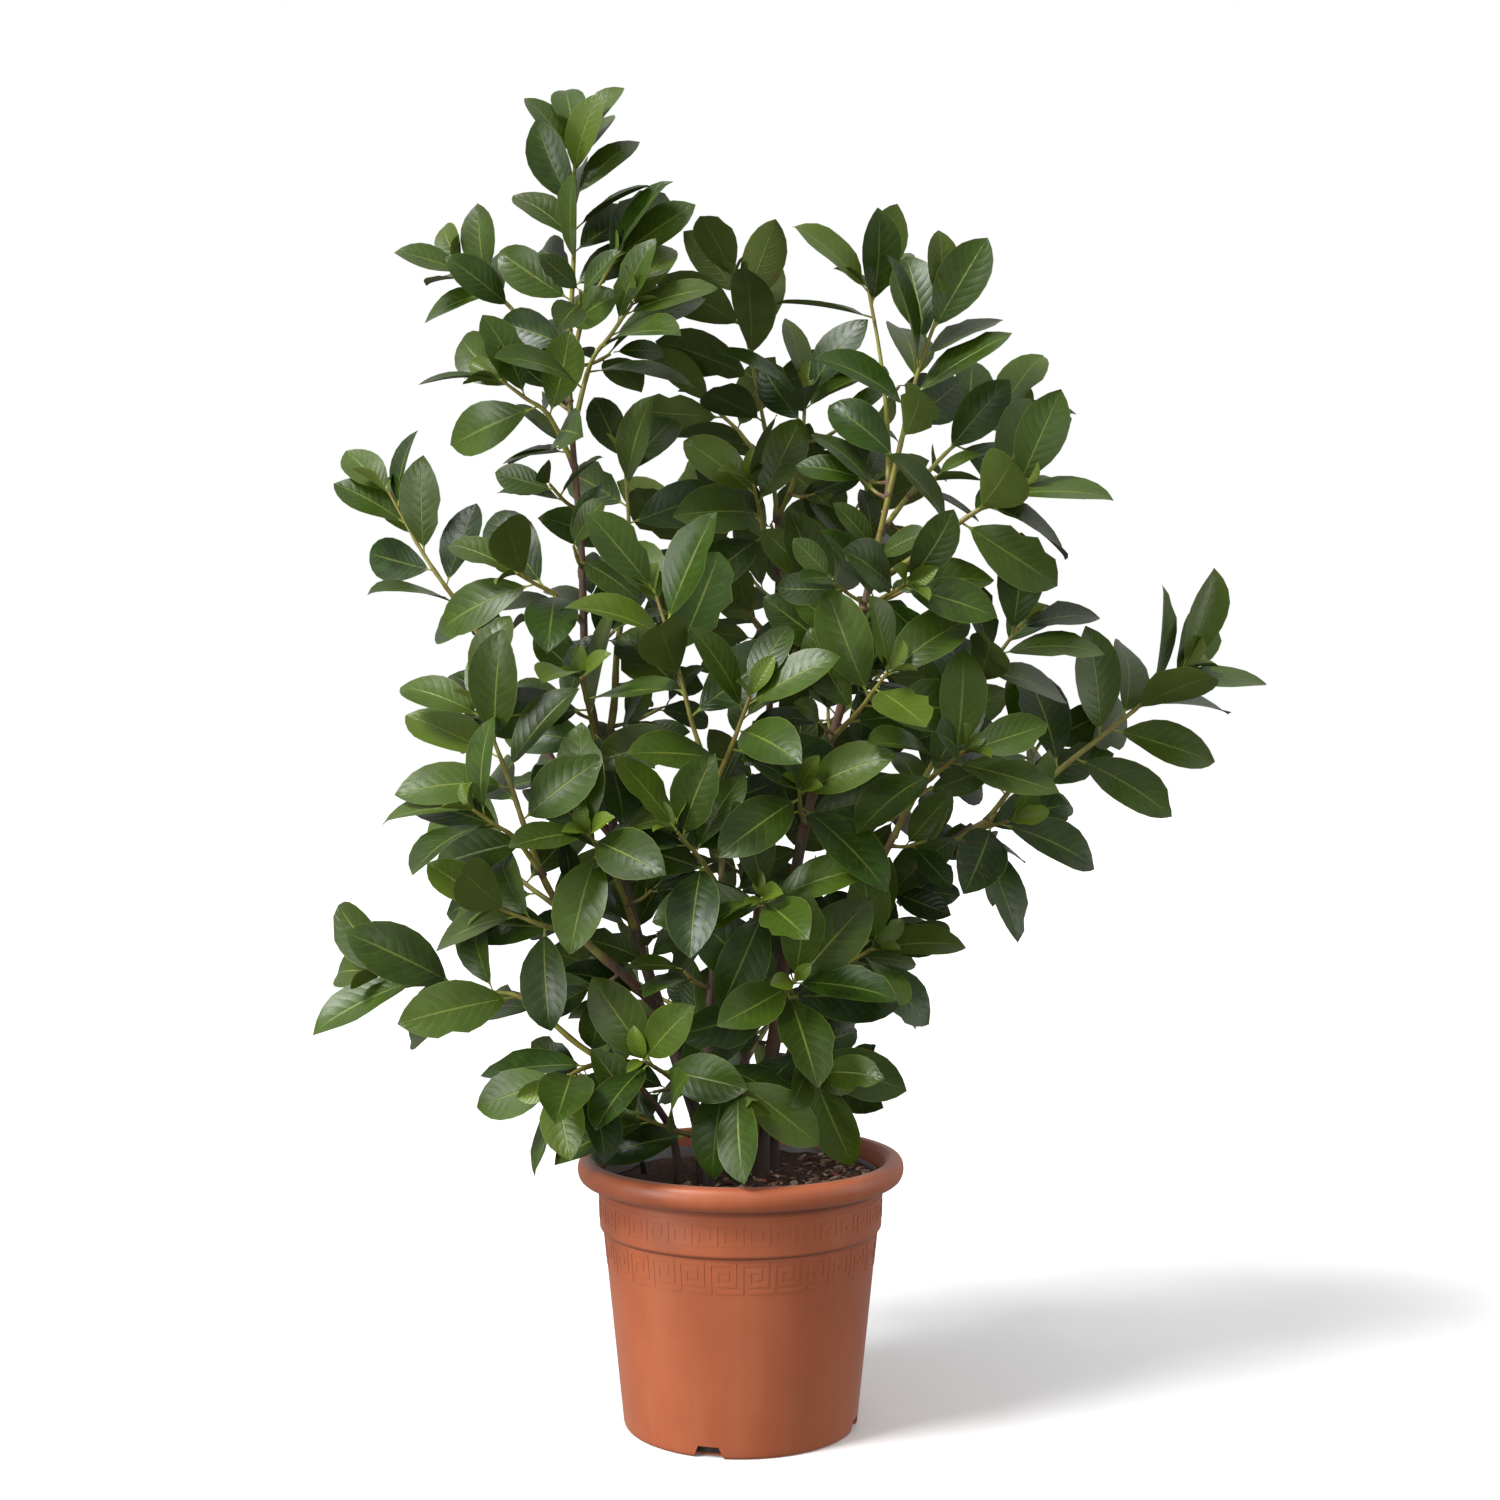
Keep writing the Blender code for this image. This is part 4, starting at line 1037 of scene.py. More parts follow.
STEMS = (
    Stem("left_leader", "wood_left", "", 0.0085, (
        (-0.038, -0.008, 0.17), (-0.042, -0.008, 0.3), (-0.087, 0.02, 0.435), (-0.115, 0.03, 0.525),
        (-0.135, 0.04, 0.61), (-0.152, 0.05, 0.7), (-0.17, 0.048, 0.8), (-0.175, 0.035, 0.95),
        (-0.185, 0.03, 1.07), (-0.187, 0.024, 1.16), (-0.182, 0.018, 1.24), (-0.18, 0.015, 1.33),
        (-0.181, 0.015, 1.39)), 0.28, 19, 0.11, 1.2, 0.1),
    Stem("centre_leader", "wood_centre", "", 0.0062, (
        (-0.031, -0.045, 0.17), (-0.034, -0.045, 0.3), (-0.035, -0.055, 0.4), (-0.03, -0.058, 0.48),
        (-0.02, -0.065, 0.575), (-0.024, -0.072, 0.66), (-0.045, -0.08, 0.73), (-0.06, -0.088, 0.79),
        (-0.074, -0.095, 0.84), (-0.088, -0.1, 0.885)), 0.15, 9, 0.14, 2.0, 0.1),
    Stem("right_leader", "wood_right", "", 0.0095, (
        (0.021, 0.0, 0.17), (0.023, 0.0, 0.3), (0.033, -0.012, 0.39), (0.046, -0.025, 0.49),
        (0.055, -0.03, 0.57), (0.075, -0.03, 0.67), (0.105, -0.03, 0.76), (0.126, -0.03, 0.85),
        (0.148, -0.03, 0.95), (0.171, -0.03, 1.05), (0.188, -0.03, 1.12), (0.212, -0.03, 1.19)),
        0.18, 12, 0.13, 1.0, 0.1),
    Stem("far_right_leader", "wood_far_right", "", 0.0085, (
        (0.034, 0.043, 0.17), (0.036, 0.042, 0.3), (0.06, 0.022, 0.405), (0.088, 0.01, 0.47),
        (0.116, 0.0, 0.532), (0.165, -0.01, 0.63), (0.191, -0.015, 0.68), (0.223, -0.02, 0.738),
        (0.252, -0.02, 0.79), (0.28, -0.02, 0.83), (0.303, -0.02, 0.86)), 0.15, 9, 0.13, 0.6, 0.25),
    Stem("back_leader", "wood_back", "", 0.0075, (
        (-0.004, 0.06, 0.17), (-0.003, 0.062, 0.3), (0.004, 0.095, 0.37), (0.012, 0.125, 0.46),
        (0.022, 0.15, 0.57), (0.027, 0.16, 0.68), (0.034, 0.17, 0.79), (0.042, 0.17, 0.9),
        (0.04, 0.17, 1.01), (0.024, 0.166, 1.11), (0.006, 0.162, 1.2), (-0.008, 0.155, 1.265)),
        0.16, 9, 0.13, 2.6, 0.1),
    Stem("low_left_leader", "wood_low_left", "", 0.0055, (
        (-0.068, -0.018, 0.17), (-0.07, -0.022, 0.3), (-0.085, -0.045, 0.352), (-0.126, -0.06, 0.38),
        (-0.157, -0.07, 0.4), (-0.183, -0.08, 0.433), (-0.215, -0.085, 0.46), (-0.27, -0.085, 0.47),
        (-0.325, -0.085, 0.485), (-0.37, -0.085, 0.49)), 0.19, 9, 0.13, 0.3, 0.1),
    Stem("low_twig", "wood_centre", "centre_leader", 0.0035, (
        (-0.034, -0.046, 0.31), (-0.05, -0.075, 0.318), (-0.078, -0.098, 0.335), (-0.105, -0.105, 0.345)),
        0.06, 5, 0.12, 1.2, 0.0),
    Stem("second_arm", "wood_left", "left_leader", 0.005, (
        (-0.152, 0.05, 0.7), (-0.14, 0.06, 0.74), (-0.143, 0.075, 0.8), (-0.128, 0.082, 0.9),
        (-0.126, 0.085, 0.99), (-0.13, 0.085, 1.045)), 0.14, 6, 0.125, 2.2, 0.25),
    Stem("upper_left_arm", "wood_left", "left_leader", 0.005, (
        (-0.137, 0.04, 0.62), (-0.185, 0.07, 0.676), (-0.236, 0.08, 0.749), (-0.276, 0.09, 0.822),
        (-0.313, 0.09, 0.878), (-0.35, 0.09, 0.93), (-0.395, 0.09, 1.01)), 0.22, 9, 0.12, 0.2, 0.1),
    Stem("left_arc", "wood_left", "left_leader", 0.0058, (
        (-0.087, 0.02, 0.438), (-0.108, -0.012, 0.469), (-0.141, -0.04, 0.493), (-0.189, -0.06, 0.555),
        (-0.21, -0.072, 0.6), (-0.228, -0.085, 0.655), (-0.248, -0.09, 0.715), (-0.272, -0.09, 0.77)),
        0.16, 10, 0.135, 1.5, 0.3),
    Stem("top_left_side", "wood_left", "left_leader", 0.0034, (
        (-0.187, 0.03, 1.1), (-0.215, 0.045, 1.16), (-0.26, 0.055, 1.215), (-0.31, 0.065, 1.255)),
        0.13, 8, 0.105, 0.8, 0.1),
    Stem("top_right_side", "wood_left", "left_leader", 0.0034, (
        (-0.184, 0.03, 1.065), (-0.168, 0.0, 1.12), (-0.144, -0.015, 1.165), (-0.115, -0.028, 1.195)),
        0.11, 8, 0.13, 2.4, 0.1),
    Stem("leader_left_low", "wood_left", "left_leader", 0.0034, (
        (-0.172, 0.045, 0.86), (-0.203, 0.012, 0.89), (-0.24, -0.01, 0.91)), 0.06, 6, 0.13, 0.5, 0.25),
    Stem("leader_right_high", "wood_left", "left_leader", 0.0034, (
        (-0.187, 0.025, 1.15), (-0.166, 0.008, 1.205), (-0.135, -0.002, 1.25)), 0.07, 5, 0.14, 1.4, 0.1),
    Stem("leader_left_high", "wood_left", "left_leader", 0.0034, (
        (-0.183, 0.03, 1.03), (-0.21, 0.0, 1.085), (-0.255, -0.02, 1.115)), 0.07, 6, 0.12, 2.9, 0.1),
    Stem("leader_front", "wood_left", "left_leader", 0.0036, (
        (-0.152, 0.05, 0.69), (-0.156, -0.01, 0.735), (-0.16, -0.06, 0.77), (-0.165, -0.09, 0.795)),
        0.09, 7, 0.14, 0.9, 0.3),
    Stem("leader_low_front", "wood_left", "left_leader", 0.0036, (
        (-0.114, 0.03, 0.52), (-0.129, -0.02, 0.577), (-0.145, -0.07, 0.61), (-0.155, -0.105, 0.635)),
        0.09, 7, 0.135, 2.1, 0.35),
    Stem("leader_foot_front", "wood_left", "left_leader", 0.0032, (
        (-0.06, 0.002, 0.355), (-0.075, -0.045, 0.375), (-0.088, -0.085, 0.395), (-0.098, -0.12, 0.405)),
        0.07, 6, 0.13, 1.0, 0.55),
    Stem("arc_low", "wood_left", "left_arc", 0.0034, (
        (-0.165, -0.05, 0.525), (-0.192, -0.085, 0.535), (-0.226, -0.105, 0.55), (-0.25, -0.115, 0.56)),
        0.07, 6, 0.125, 0.1, 0.3),
    Stem("arc_middle", "wood_left", "left_arc", 0.0034, (
        (-0.206, -0.07, 0.595), (-0.226, -0.1, 0.625), (-0.25, -0.12, 0.645), (-0.27, -0.13, 0.66)),
        0.07, 6, 0.13, 1.8, 0.25),
    Stem("arc_back", "wood_left", "left_arc", 0.0034, (
        (-0.185, -0.058, 0.55), (-0.225, 0.0, 0.57), (-0.26, 0.045, 0.6), (-0.285, 0.07, 0.62)),
        0.09, 6, 0.13, 2.7, 0.2),
    Stem("centre_twig", "wood_centre", "centre_leader", 0.003, (
        (-0.02, -0.065, 0.575), (-0.036, -0.1, 0.602), (-0.051, -0.12, 0.624), (-0.065, -0.135, 0.64)),
        0.06, 6, 0.13, 0.6, 0.35),
    Stem("centre_side", "wood_centre", "centre_leader", 0.0032, (
        (-0.027, -0.073, 0.68), (-0.011, -0.1, 0.72), (0.003, -0.12, 0.752), (0.01, -0.13, 0.775)),
        0.07, 8, 0.13, 2.3, 0.3),
    Stem("centre_low", "wood_centre", "centre_leader", 0.003, (
        (-0.036, -0.052, 0.385), (-0.02, -0.09, 0.4), (-0.003, -0.115, 0.392), (0.004, -0.122, 0.37)),
        0.06, 6, 0.12, 0.2, 0.6),
    Stem("right_top_twig", "wood_right", "right_leader", 0.0032, (
        (0.158, -0.03, 0.99), (0.157, 0.0, 1.09), (0.149, 0.012, 1.16), (0.138, 0.02, 1.225)),
        0.07, 5, 0.125, 1.1, 0.05),
    Stem("right_high_side", "wood_right", "right_leader", 0.0034, (
        (0.148, -0.03, 0.95), (0.185, 0.01, 1.0), (0.235, 0.033, 1.055), (0.29, 0.045, 1.085)),
        0.11, 8, 0.125, 0.3, 0.15),
    Stem("right_side", "wood_right", "right_leader", 0.0042, (
        (0.135, -0.03, 0.893), (0.161, -0.05, 0.905), (0.184, -0.062, 0.924), (0.203, -0.07, 0.945),
        (0.25, -0.08, 0.97), (0.295, -0.085, 0.995)), 0.13, 10, 0.135, 1.9, 0.25),
    Stem("right_front", "wood_right", "right_leader", 0.0034, (
        (0.068, -0.03, 0.64), (0.062, -0.08, 0.66), (0.06, -0.12, 0.68)), 0.06, 7, 0.135, 0.7, 0.5),
    Stem("right_low_front", "wood_right", "right_leader", 0.0032, (
        (0.051, -0.027, 0.53), (0.035, -0.08, 0.55), (0.022, -0.12, 0.57)), 0.05, 7, 0.13, 2.2, 0.5),
    Stem("right_rosette", "wood_right", "right_leader", 0.0032, (
        (0.04, -0.02, 0.44), (0.046, -0.08, 0.466), (0.055, -0.125, 0.487)), 0.06, 9, 0.14, 1.6, 0.35),
    Stem("right_inner", "wood_right", "right_leader", 0.0034, (
        (0.113, -0.03, 0.789), (0.108, 0.02, 0.829), (0.096, 0.05, 0.87), (0.086, 0.065, 0.905)),
        0.09, 6, 0.13, 2.5, 0.2),
    Stem("right_inner_front", "wood_right", "right_leader", 0.0034, (
        (0.096, -0.03, 0.731), (0.119, -0.08, 0.757), (0.14, -0.11, 0.78), (0.15, -0.125, 0.8)),
        0.07, 7, 0.135, 0.4, 0.35),
    Stem("right_middle", "wood_right", "right_leader", 0.0034, (
        (0.13, -0.03, 0.87), (0.15, -0.075, 0.88), (0.17, -0.11, 0.89)), 0.05, 6, 0.12, 2.0, 0.3),
    Stem("far_right_front", "wood_far_right", "far_right_leader", 0.0034, (
        (0.191, -0.015, 0.68), (0.204, -0.06, 0.695), (0.218, -0.09, 0.71), (0.23, -0.105, 0.72)),
        0.07, 8, 0.13, 1.3, 0.35),
    Stem("far_right_low", "wood_far_right", "far_right_leader", 0.0034, (
        (0.088, 0.01, 0.47), (0.108, -0.03, 0.49), (0.126, -0.055, 0.505), (0.14, -0.07, 0.515)),
        0.07, 7, 0.13, 0.0, 0.45),
    Stem("far_right_foot", "wood_far_right", "far_right_leader", 0.0032, (
        (0.05, 0.03, 0.375), (0.063, -0.02, 0.4), (0.072, -0.06, 0.4), (0.078, -0.085, 0.385)),
        0.07, 6, 0.12, 1.7, 0.6),
    Stem("far_right_back", "wood_far_right", "far_right_leader", 0.0034, (
        (0.165, -0.01, 0.628), (0.192, 0.05, 0.67), (0.215, 0.095, 0.715), (0.23, 0.12, 0.755)),
        0.09, 6, 0.125, 2.8, 0.2),
    Stem("right_arm", "wood_far_right", "far_right_leader", 0.0062, (
        (0.116, 0.0, 0.532), (0.147, 0.022, 0.563), (0.189, 0.04, 0.598), (0.243, 0.052, 0.626),
        (0.298, 0.06, 0.656), (0.341, 0.062, 0.687), (0.37, 0.06, 0.713), (0.41, 0.055, 0.745),
        (0.45, 0.05, 0.778), (0.488, 0.045, 0.812)), 0.18, 12, 0.145, 1.4, 0.15),
    Stem("right_arm_hanging", "wood_far_right", "right_arm", 0.0034, (
        (0.225, 0.05, 0.618), (0.25, 0.012, 0.632), (0.272, -0.015, 0.64), (0.285, -0.025, 0.645)),
        0.06, 6, 0.135, 2.2, 0.8),
    Stem("right_arm_side", "wood_far_right", "right_arm", 0.0034, (
        (0.27, 0.056, 0.642), (0.3, 0.085, 0.675), (0.33, 0.1, 0.71), (0.345, 0.108, 0.74)),
        0.08, 6, 0.12, 1.2, 0.2),
    Stem("low_left_side", "wood_low_left", "low_left_leader", 0.0032, (
        (-0.145, -0.066, 0.392), (-0.163, -0.1, 0.393), (-0.183, -0.125, 0.385)), 0.045, 6, 0.13, 2.9, 0.3),
    Stem("back_high_side", "wood_back", "back_leader", 0.0034, (
        (0.041, 0.17, 0.985), (0.062, 0.135, 1.03), (0.07, 0.115, 1.08), (0.073, 0.105, 1.125)),
        0.08, 6, 0.125, 0.8, 0.15),
    Stem("back_front_side", "wood_back", "back_leader", 0.0034, (
        (0.042, 0.17, 0.93), (0.028, 0.12, 0.96), (0.02, 0.08, 0.99), (0.014, 0.062, 1.015)),
        0.09, 7, 0.13, 1.7, 0.2),
    Stem("back_left_side", "wood_back", "back_leader", 0.0034, (
        (0.035, 0.17, 1.04), (0.0, 0.188, 1.09), (-0.032, 0.198, 1.12), (-0.05, 0.2, 1.14)),
        0.08, 5, 0.12, 2.9, 0.15),
    Stem("back_low_left", "wood_back", "back_leader", 0.0044, (
        (0.012, 0.125, 0.46), (-0.043, 0.19, 0.533), (-0.104, 0.245, 0.595), (-0.15, 0.28, 0.65)),
        0.15, 7, 0.135, 0.2, 0.25),
    Stem("back_low_right", "wood_back", "back_leader", 0.0044, (
        (0.027, 0.16, 0.686), (0.093, 0.22, 0.744), (0.149, 0.265, 0.79), (0.185, 0.29, 0.83)),
        0.13, 7, 0.135, 1.3, 0.25),
    Stem("back_skirt_right", "wood_back", "back_leader", 0.0038, (
        (0.004, 0.095, 0.37), (0.03, 0.165, 0.4), (0.055, 0.22, 0.435), (0.075, 0.26, 0.46)),
        0.1, 6, 0.135, 0.9, 0.4),
    Stem("back_skirt_left", "wood_back", "back_leader", 0.0038, (
        (0.007, 0.105, 0.395), (-0.048, 0.165, 0.41), (-0.1, 0.21, 0.43), (-0.135, 0.24, 0.45)),
        0.1, 6, 0.135, 2.4, 0.4),
    Stem("back_upper_left", "wood_back", "back_leader", 0.0042, (
        (0.038, 0.17, 0.84), (-0.008, 0.225, 0.905), (-0.048, 0.26, 0.96), (-0.07, 0.28, 1.0)),
        0.13, 6, 0.13, 1.6, 0.2),
    Stem("back_upper_right", "wood_back", "back_leader", 0.0042, (
        (0.042, 0.17, 0.88), (0.093, 0.22, 0.945), (0.128, 0.248, 0.995), (0.15, 0.262, 1.03)),
        0.13, 6, 0.13, 2.6, 0.2),
)


@dataclass
class Route:
    """A line through space made of straight stretches."""

    corners: list[Vector]

    def marks(self) -> list[float]:
        """The distance from the start to each corner."""
        found = [0.0]
        for first, second in zip(self.corners, self.corners[1:]):
            found.append(found[-1] + (second - first).length)
        return found

    def at(self, distance: float) -> tuple[Vector, Vector]:
        """The point and the direction at a distance from the start."""
        walked = 0.0
        for first, second in zip(self.corners, self.corners[1:]):
            stretch = (second - first).length
            if walked + stretch >= distance:
                return first.lerp(second, (distance - walked) / stretch), (second - first).normalized()
            walked += stretch
        return self.corners[-1].copy(), (self.corners[-1] - self.corners[-2]).normalized()

    def nearest(self, point: Vector) -> Vector:
        """The point of the line that lies nearest to this one."""
        feet = []
        for first, second in zip(self.corners, self.corners[1:]):
            along = second - first
            share = min(1.0, max(0.0, (point - first).dot(along) / along.length_squared))
            feet.append(first + along * share)
        return min(feet, key=lambda foot: (foot - point).length)

    def drawn_back(self, distance: float) -> Route:
        """The line with its end moved back."""
        *most, last = self.corners
        return Route([*most, last + (most[-1] - last).normalized() * distance])

    def curved(self, steps: int) -> list[Vector]:
        """Points of a smooth curve through the corners, with this many steps between two corners."""
        points = self.corners
        ends = [2 * points[0] - points[1], *points, 2 * points[-1] - points[-2]]
        found = []
        for a, b, c, d in zip(ends, ends[1:], ends[2:], ends[3:]):
            for step in range(steps):
                t = step / steps
                found.append(0.5 * (2 * b + (c - a) * t + (2 * a - 5 * b + 4 * c - d) * t * t
                                    + (3 * b - a - 3 * c + d) * t ** 3))
        found.append(points[-1].copy())
        return found

    def smooth(self, spacing: float) -> Route:
        """The line that follows a smooth curve through the corners, with corners at even distances."""
        fine = self.curved(12)
        total = sum((second - first).length for first, second in zip(fine, fine[1:]))
        count = max(2, round(total / spacing))
        found = [fine[0]]
        walked = 0.0
        for first, second in zip(fine, fine[1:]):
            stretch = (second - first).length
            while len(found) < count and walked + stretch >= total * len(found) / count:
                found.append(first.lerp(second, (total * len(found) / count - walked) / stretch))
            walked += stretch
        found.append(fine[-1])
        return Route(found)


@dataclass
class Leaf:
    """A leaf's root, the way it points, its upper side, its size and its curve."""

    root: Vector
    direction: Vector
    normal: Vector
    length: float
    arch: float
    fold: float

    def point(self, t: float, across: float, lift: float, fold_share: float = 1.0) -> Vector:
        """A point of the leaf.

        Args:
            t: the share of the leaf's length.
            across: the distance from the midrib, to either side.
            lift: the height over the blade.
            fold_share: how much of the leaf's fold there is here.

        Returns:
            The point.
        """
        bent = self.arch * t
        heading = self.length / self.arch
        along = self.direction * math.sin(bent) * heading
        down = self.normal * (1 - math.cos(bent)) * heading
        upper = self.normal * math.cos(bent) + self.direction * math.sin(bent)
        side = self.direction.cross(self.normal)
        rise = lift + abs(across) * math.tan(self.fold * fold_share)
        return self.root + along - down + side * across + upper * rise


@dataclass
class LeafModel:
    """The leaf that is modelled once, flat along +Y, and bent into place for each leaf of the shrub."""

    rows: tuple[Pair, ...] = (
        (0.0, 0.045), (0.075, 0.04), (0.105, 0.08), (0.16, 0.3), (0.25, 0.57), (0.36, 0.82), (0.48, 0.97),
        (0.6, 1.0), (0.72, 0.92), (0.83, 0.71), (0.92, 0.41), (0.965, 0.19), (1.0, 0.012))
    upper_columns: int = 4
    under_columns: int = 2
    width_share: float = 0.46
    rib: float = 0.0011
    back_share: float = 0.8
    stalk_end: float = 0.1
    blade_start: float = 0.09
    blade_ease: float = 0.12
    tip_ease: float = 0.15
    waves: Pair = (0.2, 1.0)
    wave_share: float = 0.045
    beats: Pair = (2.5, 4.5)
    side_lag: float = 1.5
    curls: Pair = (-0.2, 1.0)
    curl_share: float = 0.035
    curl_start: float = 0.86
    curl_reach: float = 0.14
    sway: float = 0.02
    bites: tuple[int, ...] = (0, 0, 0, 0, 1, 2)
    bite_rows: tuple[int, int] = (5, 11)
    bite_widths: Pair = (0.72, 0.86)
    mark_rows: Triple = (0.3, 0.6, 0.9)
    mark_columns: Triple = (-0.6, 0.0, 0.6)
    template: bpy.types.Object | None = None

    def sheet(self, name: str, columns: int, height: float, finish: Blade) -> bpy.types.Object:
        """Models one side of the leaf: a grid whose rows are moved and widened.

        Args:
            name: the object's name.
            columns: how many faces go across.
            height: its height, by which its points are told from the other side's.
            finish: its finish.

        Returns:
            The sheet, whose UV map leaf runs across and along.
        """
        bpy.ops.mesh.primitive_grid_add(x_subdivisions=columns, y_subdivisions=len(self.rows) - 1,
                                        size=2.0, location=CENTRE)
        obj = added(name)
        layer = obj.data.uv_layers.active
        layer.name = "leaf"
        for loop in obj.data.loops:
            place = obj.data.vertices[loop.vertex_index].co
            layer.data[loop.index].uv = (0.5 + place.x / 2, self.row_of(place.y)[0])
        for vertex in obj.data.vertices:
            share, width = self.row_of(vertex.co.y)
            vertex.co = (vertex.co.x * width, share, height)
        for face in obj.data.polygons:
            face.use_smooth = True
        return coated(obj, finish.material())

    def row_of(self, y: float) -> Pair:
        """The share of the length and the width of the row at this y of the plain grid."""
        return self.rows[round((y + 1) / 2 * (len(self.rows) - 1))]

    def model(self) -> None:
        """Models the leaf from an upper side and an underside that faces down."""
        upper = self.sheet("leaf", self.upper_columns, 0.0, UPPER_SIDE)
        under = self.sheet("leaf_under", self.under_columns, -0.001, UNDER_SIDE)
        with Editing():
            bpy.ops.mesh.select_all(action="SELECT")
            bpy.ops.mesh.flip_normals()
        self.template = joined("leaf", [upper, under])

    def marks(self, leaf: Leaf) -> list[Vector]:
        """Points of a leaf's blade that show where it is."""
        half = leaf.length * self.width_share / 2
        return [leaf.point(t, half * u, 0.0) for t in self.mark_rows for u in self.mark_columns]

    def bent(self, leaf: Leaf, rng: random.Random, shade: Triple) -> bpy.types.Object:
        """Copies the leaf and bends the copy into its place.

        Args:
            leaf: the leaf's place and curve.
            rng: where its own small differences are drawn from.
            shade: how yellow, how light and how blemished it is.

        Returns:
            The bent leaf.
        """
        obj = copied(self.template, "leaf")
        half = leaf.length * self.width_share / 2
        widths = dict(self.rows)
        wave = rng.uniform(*self.waves) * self.wave_share * half
        beat = rng.uniform(*self.beats)
        shift = rng.uniform(0.0, math.tau)
        curl = rng.uniform(*self.curls)
        sway = rng.uniform(-self.sway, self.sway) * leaf.length
        aside = leaf.direction.cross(leaf.normal)
        bitable = self.rows[slice(*self.bite_rows)]
        bitten = {(rng.choice(bitable)[0], rng.choice((-1, 1))): rng.uniform(*self.bite_widths)
                  for _ in range(rng.choice(self.bites))}
        for vertex in obj.data.vertices:
            t = min(widths, key=lambda share: abs(share - vertex.co.y))
            u = vertex.co.x / widths[t]
            edge = round(u) if abs(u) > 0.9 else 0
            reach = half * widths[t] * bitten.get((t, edge), 1.0)
            blade = min(1.0, max(0.0, (t - self.blade_start) / self.blade_ease))
            inward = 1 - min(1.0, abs(u))
            phase = beat * t * math.pi + shift + (self.side_lag if u > 0 else 0.0)
            ripple = wave * math.sin(phase) * abs(u)
            tip = max(0.0, t - self.curl_start) / self.curl_reach
            recurve = -curl * self.curl_share * leaf.length * tip ** 2
            thick = self.rib if t < self.stalk_end else self.rib * (1 - t) * self.back_share
            belly = max(thick, self.rib * self.back_share * min(1.0, (1 - t) / self.tip_ease))
            skin = thick * inward ** 2 if vertex.co.z == 0.0 else -belly * inward
            lift = ripple * blade + recurve + skin
            vertex.co = leaf.point(t, u * reach, lift, blade) + aside * sway * math.sin(math.pi * t)
        painted(obj, shade)
        return obj


def square_to(way: Vector, reference: Vector) -> tuple[Vector, Vector]:
    """Two directions square to a way and to each other, the first of them towards a reference."""
    first = (reference - way * reference.dot(way)).normalized()
    return first, way.cross(first)


def fading(distance: float, reach: float) -> float:
    """1 at no distance, falling to 0 at the reach."""
    return max(0.0, 1 - distance / reach)


@dataclass(frozen=True)
class LeafRule:
    """The rule that the leaves are drawn by, the same as for the solids."""

    turn_between: float = math.radians(137.5)
    turn_chance: float = 0.2
    spread_low: float = math.radians(66)
    spread_tip: float = math.radians(26)
    spread_power: float = 1.3
    spread_chance: float = 0.14
    level_flattening: float = 0.55
    level_rise: float = 0.12
    droop_fade: float = 0.8
    middle_depth: float = 0.13
    facing_sideways: float = 0.6
    facing_forward: float = 0.35
    facing_share: float = 0.7
    upward_share: float = 0.5
    flattening: float = 0.45
    twist: float = 0.65
    size_at_foot: float = 0.9
    size_gain: float = 0.35
    size_loss_at_tip: float = 0.45
    size_chance: Pair = (0.86, 1.0)
    arch_chance: Pair = (0.2, 0.75)
    fold_chance: Pair = (0.12, 0.32)
    shrink_by_last_try: float = 0.2

    def drawn(self, stem: Stem, path: Route, share: float, index: int, rng: random.Random,
              loosen: float) -> Leaf:
        """Draws one leaf.

        Args:
            stem: the stem that it grows on.
            path: the leafy stretch of the stem.
            share: where on that stretch it grows.
            index: its place in the spiral.
            rng: the stem's own chances.
            loosen: how far the rule is loosened, from 0 to 1.

        Returns:
            The leaf.
        """
        root, way = path.at(path.marks()[-1] * share)
        reference = Vector((0.0, 1.0, 0.0)) if abs(way.y) < 0.8 else Vector((1.0, 0.0, 0.0))
        first, second = square_to(way, reference)
        around = stem.turn + index * self.turn_between
        around += rng.uniform(-1, 1) * self.turn_chance * (1 + 3 * loosen)
        radial = first * math.cos(around) + second * math.sin(around)
        level = 1 - abs(way.z)
        radial.z = radial.z * (1 - self.level_flattening * level) + self.level_rise * level
        radial.normalize()
        spread = self.spread_low + (self.spread_tip - self.spread_low) * share ** self.spread_power
        spread += rng.uniform(-1, 1) * self.spread_chance * (1 + 2 * loosen)
        direction = way * math.cos(spread) + radial * math.sin(spread)
        direction.z -= stem.droop * (1 - self.droop_fade * share)
        forward = self.facing_forward if root.y > self.middle_depth else -self.facing_forward
        facing = Vector((root.x * self.facing_sideways, forward, 0.0)).normalized()
        direction -= facing * facing.dot(direction) * self.flattening
        direction.normalize()
        upper = facing * self.facing_share + Vector((0.0, 0.0, self.upward_share))
        upper -= direction * upper.dot(direction)
        if upper.length < 0.25:
            upper = -radial + direction * radial.dot(direction)
        upper.normalize()
        turn = rng.uniform(-1, 1) * self.twist * (1 + loosen)
        upper.rotate(Matrix.Rotation(turn, 3, direction))
        size_here = self.size_at_foot + self.size_gain * share - self.size_loss_at_tip * share ** 3
        size = stem.longest * size_here
        length = size * rng.uniform(*self.size_chance) * (1 - self.shrink_by_last_try * loosen)
        return Leaf(root, direction, upper, length, rng.uniform(*self.arch_chance),
                    rng.uniform(*self.fold_chance))


